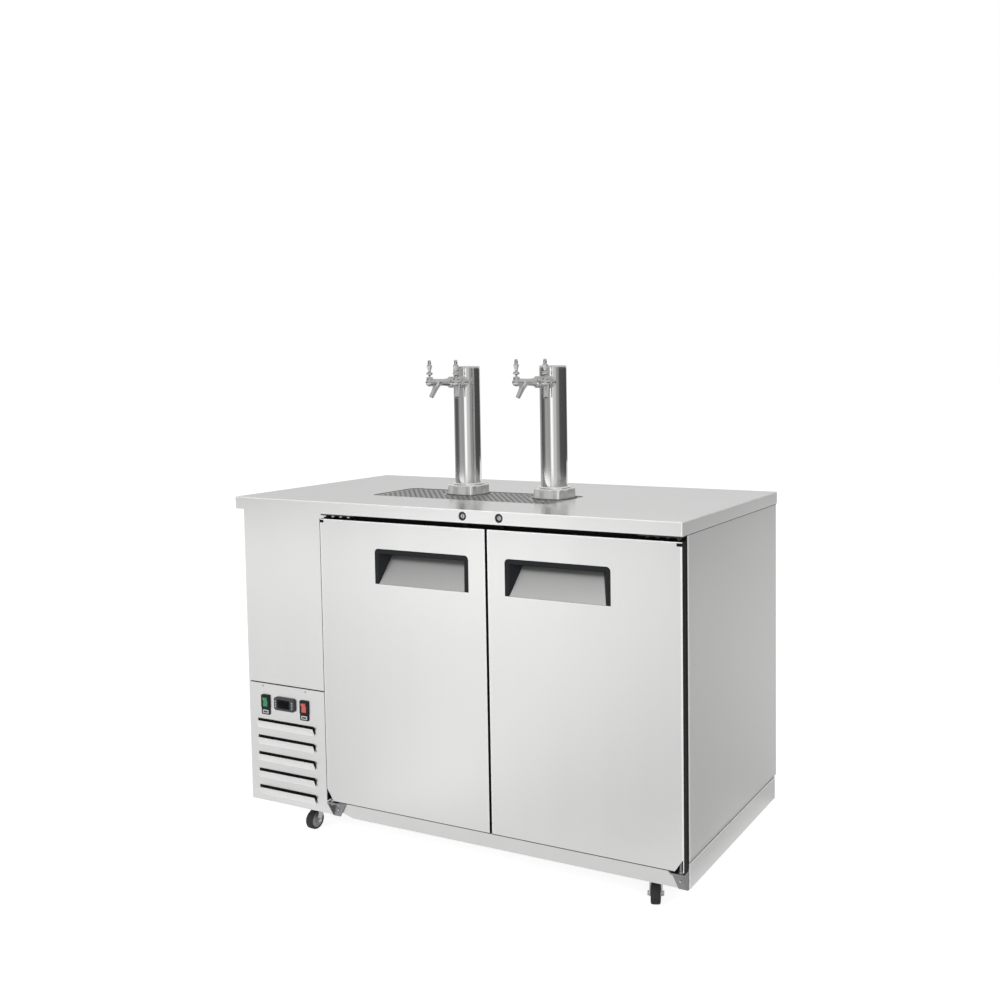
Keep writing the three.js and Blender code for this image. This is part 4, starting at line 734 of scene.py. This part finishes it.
def slot_cutters(low, high, pitch, size, lean, height):
    """Capsules of size (length, width) on a staggered lattice, 12 points round, turned by lean and, in every other
    row, by as much the other way. Those that would come within 2 of a column's clearance are left out."""
    wide, deep = (high - low)[:2]
    columns, rows = int((wide - tray_rim[0]) // pitch[0]), int((deep - tray_rim[1]) // pitch[1])
    step = np.stack(np.meshgrid(np.arange(columns), np.arange(rows)), -1).reshape(-1, 2)
    x = low[0] + (wide - (columns - 0.5) * pitch[0]) / 2 + (step[:, 0] + 0.5 * (step[:, 1] % 2)) * pitch[0]
    y = low[1] + (deep - (rows - 1) * pitch[1]) / 2 + step[:, 1] * pitch[1]
    apart = np.min([np.hypot(x - tower, y - tower_y) for tower in tower_x], axis=0)
    free = apart > collar_radius + size[0] / 2 + 2
    angle = np.linspace(-np.pi / 2, 1.5 * np.pi, 12, endpoint=False) + 0.01
    outline = np.stack([np.cos(angle), np.sin(angle)], -1) * size[1] / 2
    outline[:, 0] += np.sign(np.cos(angle)) * (size[0] - size[1]) / 2
    shapes = []
    for place, row in zip(np.column_stack([x, y])[free], step[free, 1]):
        tilt = lean if row % 2 else -lean
        turn = np.array([[math.cos(tilt), math.sin(tilt)], [-math.sin(tilt), math.cos(tilt)]])
        loop = np.column_stack([outline @ turn + place, np.zeros(12)])
        shapes.append(loft([loop + (0, 0, height[0]), loop + (0, 0, height[1])]))
    return shapes


def cut_piece(name, blank, cutters, body, materials, replaces):
    """The blank minus the cutters, worked out once and kept as a plain mesh."""
    whole = make(f"{name}_blank", blank, body, materials)
    tool = make(f"{name}_cutters", cutters, body, materials)
    boolean = whole.modifiers.new("cut", "BOOLEAN")
    boolean.operation = "DIFFERENCE"
    boolean.object = tool
    boolean.solver = "EXACT"
    bpy.context.view_layer.update()
    evaluated = whole.evaluated_get(bpy.context.evaluated_depsgraph_get())
    mesh = bpy.data.meshes.new_from_object(evaluated)
    mesh.name = name
    mesh.materials.clear()
    bpy.data.objects.remove(whole)
    bpy.data.objects.remove(tool)
    return place_piece(name, mesh, body, materials, replaces, 30)


grille_z = (tray_low[2], tray_high[2])
blank = rounded_block((tray_low[0], tray_high[0]), (tray_low[1], tray_high[1]), grille_z, "z", 23, 0.8)
cut_z = (grille_z[0] - 2, grille_z[1] + 2)
cutters = slot_cutters(tray_low, tray_high, slot_pitch, slot_size, slot_lean, cut_z)
collars = [revolved([(collar_radius, -4), (collar_radius, 8)], (x, tower_y, grille_z[0]), count=64) for x in tower_x]
cutters += collars
name = "drip_tray_slotted_grille"
cut_piece(name, [blank], cutters, "tray_grille", [tray_steel], ("drip_tray_grille",))
print("tray done:", len(cutters) - len(collars), "slots")

# %% [markdown]
# The control row: a digital controller in a dark grey bezel with a black window and key pads, and two rocker
# switches in black frames, each over a small label plate with a plain dark field. No words or marks are on them.

# %% Controls
cx, (bezel_y, _), cz = box_of("controller").T
middle_x, middle_z = sum(cx) / 2, sum(cz) / 2


def on_bezel(x, z, proud, corner, fillet, mat):
    """A block in the bezel that stands proud of it. x and z are measured from the bezel's middle."""
    x, z = [middle_x + step for step in x], [middle_z + step for step in z]
    return rounded_block(x, (bezel_y - proud, bezel_y + 3), z, "y", corner, fillet, mat)


bezel = rounded_block(cx, (bezel_y, bezel_y + 7), cz, "y", 8, 2.4, 0, 5)
window_frame = on_bezel((-27, 24), (-14, 15), 0.15, 3, 0.5, 1)
window = on_bezel((-24, 21), (-11, 12), 0.3, 2, 0.3, 2)
back_body = rounded_block((cx[0] + 5, cx[1] - 5), (bezel_y + 5, bezel_y + 50), (cz[0] + 5, cz[1] - 5), "y", 2, 1, 1)
shapes = [bezel, window_frame, window, back_body]
finishes = [bezel_grey, black_moulding, display_glass]
make("controller_moulding", shapes, "cabinet", finishes, ("controller",))
pad_rise = 8.2
for side in ("left", "right"):
    node = f"controller_key_{side}"
    kx, ky, kz = box_of(node).T
    shapes = []
    for pad in range(3):
        z0 = kz[0] + pad * pad_rise
        shapes.append(rounded_block((kx[0] + 1, kx[1] - 1), (ky[0], ky[0] + 3), (z0 + 0.8, z0 + 6.6), "y", 2, 0.8, 0))
    shapes.append(rounded_block(kx, (ky[0] + 1.2, ky[1]), kz, "y", 1.5, 0.5, 1))
    make(f"{node}_pads", shapes, f"key_{side}", [wheel_hub, black_moulding], (node,))

sheet_y = box_of("control_panel")[1, 1] - 14 - 2.5  # the sheet's face, in front of the panel's folded-back edge
plate_back = -329.5
for colour, lens in (("green", green_lens), ("red", red_lens)):
    hx, _, hz = box_of(f"{colour}_switch_housing").T
    softened(f"{colour}_switch_housing", [black_moulding], 0.7, 2)
    softened(f"{colour}_switch_rocker", [lens], 0.8, 3)
    low_z, high_z = hz[0] + 3.5, hz[0] + 14.5
    plate = rounded_block((hx[0] + 5, hx[1] - 5), (sheet_y - 0.9, plate_back), (low_z, high_z), "y", 2, 0.4)
    field_x, field_z = (hx[0] + 8.5, hx[1] - 8.5), (low_z + 3, high_z - 3)
    field = rounded_block(field_x, (sheet_y - 1.1, plate_back), field_z, "y", 1.5, 0.1, 1)
    make(f"{colour}_label_plate", [plate, field], "cabinet", [label_print, bezel_grey])


def pan_screw(place, radius):
    """A pan-head screw that looks forwards: a low dome with a small socket in its middle."""
    dome = [(1, 0), (1, 0.2), (0.86, 0.42), (0.5, 0.56)]
    socket = [(0.36, 0.58), (0.3, 0.2), (0.05, 0.18)]
    return revolved([(radius * r, radius * h) for r, h in dome + socket], place, (0, -1, 0), 18)


panel_front, screw_z = -328, 441
screws = [pan_screw((x, panel_front, screw_z), 3.0) for x in (-676, -508)]
make("control_panel_screws", screws, "cabinet", [zinc])
print("controls done")

# %% [markdown]
# Small hardware: the two cam locks, each with a dark ring, a plug that sits a little back and a key slot, whose
# shade is painted as a black block on the plug, and the pin collars, bolts and screws of the hinges. The left top
# hinge's are plated, the right one's are black.

# %% Locks and hinge hardware
lock_z = worktop_z - 18
ring = [(6.6, 2.4), (6.5, 1.6), (7.6, 0.7), (9.6, 0), (11.4, 0.4), (12.2, 1.4), (12.2, 2.5)]
barrel = [(0.6, 1.2), (5.2, 1.2), (5.9, 1.8), (6, 9.6), (0.6, 9.6)]
for side, x in (("left", 87.5), ("right", 203.5)):
    bezel = revolved(ring, (x, front_y, lock_z), (0, 1, 0), 40, 2, closed=True)
    plug = revolved(barrel, (x, front_y, lock_z), (0, 1, 0), 36, 3)
    slot_y, slot_z = (front_y + 0.95, front_y + 3), (lock_z - 4.4, lock_z + 4.4)
    # Painted shade: the key slot is a thin black block on the plug's face, not a hole.
    keyway = rounded_block((x - 0.9, x + 0.9), slot_y, slot_z, "y", 0.8, 0.15, 1)
    cam = rounded_block((x - 28, x + 6), (front_y + 9.5, front_y + 12.5), (lock_z - 6, lock_z + 6), "y", 5, 0.4, 0)
    shapes, finishes = [bezel, plug, keyway, cam], [polished_steel, black_strip_and_painted_shade, lock_steel, zinc]
    make(f"{side}_lock_turned", shapes, f"{side}_lock_cam", finishes, (f"{side}_lock",))

hinge_y, top_hinge_z, bottom_hinge_z, bracket_y = -346, 981, 134, -332.5
hinge_pins = ((-397, 1), (720, -1))  # each pin's x and the way inwards from it, left and right
collar = [(0.5, 0), (6.5, 0), (6.5, 5), (0.5, 5)]
hexagon = [(0.5, 0), (5.8, 0), (5.8, 4.4), (5, 5.4), (0.5, 5.4)]
cap_nut = [(8, 0), (8, 3.4), (7, 4.4), (0.6, 4.4)]
hinge_screws, bolts = [], []
for mat, (pin, inward) in enumerate(hinge_pins):
    hinge_screws.append(revolved(collar, (pin, hinge_y, top_hinge_z), (0, 0, -1), 24, mat))
    for step in (30, 58, 86):
        hinge_screws.append(revolved(hexagon, (pin + inward * step, hinge_y, top_hinge_z), (0, 0, -1), 6, mat))
    bolts.append(revolved(cap_nut, (pin, hinge_y, bottom_hinge_z), (0, 0, 1), 6))
    bolts += [pan_screw((pin + inward * 8, bracket_y, z), 3.6) for z in (104, 118)]
make("top_hinge_screws", hinge_screws, "cabinet", [zinc, enamel])
make("bottom_hinge_bolts", bolts, "cabinet", [zinc])
print("hardware done")

# %% [markdown]
# A caster wheel has a rubber tread, a moulded hub with a shallow dish and a bearing boss. The fork is pressed sheet
# on a ball race. Wheel and fork ride on bodies of their own, so both keep turning.

# %% Casters
wheel_radius, wheel_trail, nut_offset = 28.0, 22, 17.2
tread = [(21.5, -11), (23.5, -12.6), (25.4, -12.6), (27.2, -10.6), (28, -7)]
tread += [(r, -h) for r, h in tread[::-1]]
hub = [(4.4, -13), (7.5, -13), (8.2, -12), (9, -9), (18.5, -8.6), (20, -10.6), (21.6, -11)]
hub += [(r, -h) for r, h in hub[::-1]]
race = [(20, 60), (24.5, 61), (25.5, 64), (24.5, 68.6), (20, 68.8)]
nut = [(6.4, 0), (6.4, 4), (5.6, 4.8), (0.5, 4.8)]
casters = [("front_left", -535, -251, 0), ("front_right", 606, -251, 22)]
casters += [("rear_left", -535, 273, -12), ("rear_right", 606, 273, 8)]
for name, x, y, rest in casters:
    turn = math.radians(rest)
    across = np.array([math.cos(turn), math.sin(turn), 0])
    axle = np.array([x, y, wheel_radius]) + np.array([math.sin(turn), -math.cos(turn), 0]) * wheel_trail
    shapes = [revolved(tread, axle, across, 56, 0, closed=True), revolved(hub, axle, across, 48, 1, closed=True)]
    finishes = [rubber, wheel_hub]
    make(f"{name}_wheel_moulded", shapes, f"{name}_wheel", finishes, (f"{name}_caster_wheel",))
    softened(f"{name}_caster_fork", [zinc], 0.7, 2)
    shapes = [revolved(nut, axle + across * s * nut_offset, across * s, 6) for s in (-1, 1)]
    shapes.append(revolved(race, (x, y, 0), (0, 0, 1), 48, closed=True))
    make(f"{name}_fork_hardware", shapes, f"{name}_fork", [zinc])
print("casters done")

# %% [markdown]
# Behind the rear grille stand the compressor, a black domed can, and the condenser with its fan. The evaporator with
# its fan hangs on the divider in the cold space. They are seen from behind and with the doors open.

# %% Machine
can_low, can_high = box_of("compressor")
foot_height = 15
can_x, can_y, can_z = (can_low[0] + can_high[0]) / 2, 130, can_low[2] + foot_height
t = np.linspace(0, np.pi / 2, 9)
waist = [(81.8, 88), (84, 90), (84, 96), (81.8, 98)]
lower = np.column_stack([61.5 + 20.3 * np.sin(t), 20.5 - 20.5 * np.cos(t)]).tolist()
upper = np.column_stack([0.4 + 81.4 * np.cos(t), 139 + 50.8 * np.sin(t)]).tolist()
can = revolved([(2, 0), *lower, *waist, *upper], (can_x, can_y, can_z), (0, 0, 1), 64)
plate = rounded_block((can_x - 95, can_x + 95), (can_y - 95, can_y + 95), (can_z - 3, can_z + 3), "z", 22, 1)
foot = [(12, -15), (12.6, -12), (10, -8), (12, -3), (2, -3)]
foot_places = [(can_x + x, can_y + y, can_z) for x in (-83, 83) for y in (-83, 83)]
feet = [revolved(foot, place, (0, 0, 1), 20, 1) for place in foot_places]
terminal = rounded_block((can_x - 35, can_x + 35), (can_y + 50, can_y + 116), (can_z + 60, can_z + 130), "y", 5, 3)
rise = [(-41, 136.8), (-70, 140), (-94, 150), (-102, 168), (-102, 200), (-102, 229)]
steps = np.linspace(0, len(rise) - 1, 24)
pipe_y, pipe_z = (np.interp(steps, np.arange(len(rise)), places) for places in zip(*rise))
pipe_path = np.column_stack([np.full(24, -41), pipe_y, pipe_z]) + (can_x, can_y, can_z - foot_height)
shapes = [can, plate, *feet, terminal, swept(pipe_path, 5, 14, 2)]
make("compressor_can", shapes, "cabinet", [enamel, rubber, copper], ("compressor",))
softened("condenser", [fins], 0.5)
softened("evaporator", [fins], 0.5)
softened("condenser_fan", [black_moulding], 0.6)
softened("evaporator_fan", [black_moulding], 0.6)
for side in ("left", "right"):
    softened(f"{side}_beer_lines", [hose], 0.6)
print("machine done")

# %% [markdown]
# The light is plain: a white room that metal can see, two soft lamps, and cards that only reflections see, as a
# photographer stands them beside polished metal. The low and the flat cards brighten the doors, the louvres and the
# skirt. The dark stretches of the high ones give the columns their dark edges. The floor takes a faint shadow.

# %% Floor, cards and light
def rectangle(x, y, z):
    return np.array([[x[0], y[0], z], [x[1], y[0], z], [x[1], y[1], z], [x[0], y[1], z]], float)


def stage_object(name, points, faces, material):
    """An object of the studio, in metres, that isn't part of the cooler."""
    mesh = bpy.data.meshes.new(name)
    mesh.from_pydata(points, [], faces)
    mesh.materials.append(material)
    thing = new_object(name, mesh)
    return thing


def seen_by(tree, *kinds):
    """One for rays of these kinds, and nought for the rest."""
    path = tree.nodes.new("ShaderNodeLightPath")
    level = 0.0
    for kind in kinds:
        level = math_node(tree, "MAXIMUM", level, path.outputs[f"Is {kind} Ray"])
    return level


floor_material, tree = new_material("floor")
tree.nodes.clear()
diffuse = tree.nodes.new("ShaderNodeBsdfDiffuse")
diffuse.inputs["Color"].default_value = (0.5, 0.5, 0.5, 1)
glow = tree.nodes.new("ShaderNodeEmission")
place = place_outputs(tree)
front_floor = ramp(tree, place["Y"], -0.42, -0.3, 0.46, 0.0)
slant = math_node(tree, "ADD", place["Y"], math_node(tree, "MULTIPLY", place["X"], -1.7))
side_floor = ramp(tree, slant, -1.54, -0.24, 0.17, 0.46)
direct = math_node(tree, "MULTIPLY", seen_by(tree, "Camera", "Transmission"), 0.8)
mirrored = math_node(tree, "MULTIPLY", seen_by(tree, "Glossy"), math_node(tree, "MAXIMUM", front_floor, side_floor))
tree.links.new(math_node(tree, "MAXIMUM", direct, mirrored), glow.inputs["Strength"])
both = tree.nodes.new("ShaderNodeAddShader")
output = tree.nodes.new("ShaderNodeOutputMaterial")
tree.links.new(diffuse.outputs[0], both.inputs[0])
tree.links.new(glow.outputs[0], both.inputs[1])
tree.links.new(both.outputs[0], output.inputs["Surface"])
stage_object("floor", rectangle((-60, 60), (-60, 60), 0), [[0, 1, 2, 3]], floor_material)


def card(name, points, faces, levels):
    """A surface that only reflections see, as a photographer's card. Its level at each point is an attribute."""
    material, tree = new_material(name)
    tree.nodes.clear()
    glow = tree.nodes.new("ShaderNodeEmission")
    reader = tree.nodes.new("ShaderNodeAttribute")
    reader.attribute_name = "level"
    tree.links.new(reader.outputs["Fac"], glow.inputs["Strength"])
    tree.links.new(glow.outputs[0], tree.nodes.new("ShaderNodeOutputMaterial").inputs["Surface"])
    thing = stage_object(name, points, faces, material)
    thing.data.attributes.new("level", "FLOAT", "POINT").data.foreach_set("value", np.asarray(levels, float))
    thing.visible_camera = thing.visible_diffuse = thing.visible_shadow = False
    thing.visible_transmission = thing.visible_volume_scatter = False


def arc_card(name, rows, stops):
    """A strip between two arcs round the object, each given as (radius, height). stops holds pairs of azimuth, in
    degrees from the front towards the right, and level."""
    turns, levels = np.array(stops, float).T
    azimuth = np.linspace(turns[0], turns[-1], arc_count)
    around = np.stack([np.sin(np.radians(azimuth)), -np.cos(np.radians(azimuth))], -1)
    points = np.concatenate([np.column_stack([radius * around, np.full(arc_count, z)]) for radius, z in rows])
    faces = [[i, i + 1, i + 1 + arc_count, i + arc_count] for i in range(arc_count - 1)]
    card(name, points, faces, np.tile(np.interp(azimuth, turns, levels), 2))


def wall_card(name, low_z, high_z, stops, radius=5.0):
    arc_card(name, ((radius, low_z), (radius, high_z)), stops)


def flat_card(name, x, y, z, level):
    card(name, rectangle(x, y, z), [[0, 1, 2, 3]], [level] * 4)


arc_count = 48
high_stops = [(-118, 0.5), (-84, 0.1), (-52, 0.12), (-38, 0.4), (0, 0.36), (6, 0.5), (10, 1.25), (24, 1.25)]
high_stops += [(30, 0.66), (52, 0.6), (58, 0.34), (76, 0.3), (82, 0.09), (156, 0.07)]
floor_stops = [(-60, 0.78), (-42, 0.8), (-32, 1.0), (-22, 1.08), (-8, 0.9), (10, 0.76), (30, 0.72)]
wall_card("low_front_card", 0.02, 0.3, [(-85, 1.0), (-60, 1.15), (-40, 1.2), (-31, 3.8), (-22, 1.7), (-5, 1.0)])
wall_card("fascia_card", 0.3, 0.6, [(-85, 1.4), (-42, 1.4), (-31, 1.28), (-5, 1.22)])
wall_card("high_cards", 0.6, 1.6, high_stops)
wall_card("side_card", 0.0, 0.7, [(120, 0.15), (143, 0.38), (150, 0.6), (158, 0.95), (184, 0.95)], 5.2)
wall_card("side_high_card", 0.7, 1.5, [(150, 0.07), (173, 0.08), (180, 0.6)], 5.15)
wall_card("upper_card", 1.6, 3.1, [(-118, 0.6), (-62, 0.6), (-48, 0.2), (-14, 0.2), (2, 0.6), (182, 0.6)])
wall_card("back_card", 0.0, 2.2, [(186, 0.66), (206, 0.69), (224, 0.67), (244, 0.67)], 5.4)
flat_card("ceiling_card", (-5, 5), (-5, 5), 3.1, 0.68)
flat_card("skirt_card", (0.742, 0.84), (-0.3, 0.5), 0.004, 0.9)
arc_card("sector_card", ((0.8, 0.003), (4.95, 0.003)), floor_stops)
flat_card("louvre_card", (-0.76, -0.42), (-0.5, -0.36), 0.004, 0.9)

world = bpy.data.worlds.new("studio")
bpy.context.scene.world = world
world.use_nodes = True
tree = world.node_tree
background = tree.nodes["Background"]
background.inputs["Color"].default_value = (1, 1, 1, 1)
room = math_node(tree, "MULTIPLY", seen_by(tree, "Camera", "Glossy", "Transmission"), 0.45)
tree.links.new(math_node(tree, "ADD", room, 0.55), background.inputs["Strength"])

def lamp(name, place, target, size, power):
    """A round lamp that lights the surfaces but isn't seen in them."""
    data = bpy.data.lights.new(name, "AREA")
    data.shape = "DISK"
    data.size = size
    data.energy = power
    thing = new_object(name, data)
    thing.location = place
    thing.rotation_euler = (Vector(target) - Vector(place)).to_track_quat("-Z", "Y").to_euler()
    thing.visible_glossy = False


lamp("key_lamp", (-1.2, -4.2, 3.6), (0, 0, 0.6), 2.4, 90)
lamp("fill_lamp", (3.6, -2.6, 2.4), (0, 0, 0.6), 2.0, 40)
bpy.context.scene.view_settings.view_transform = "Standard"
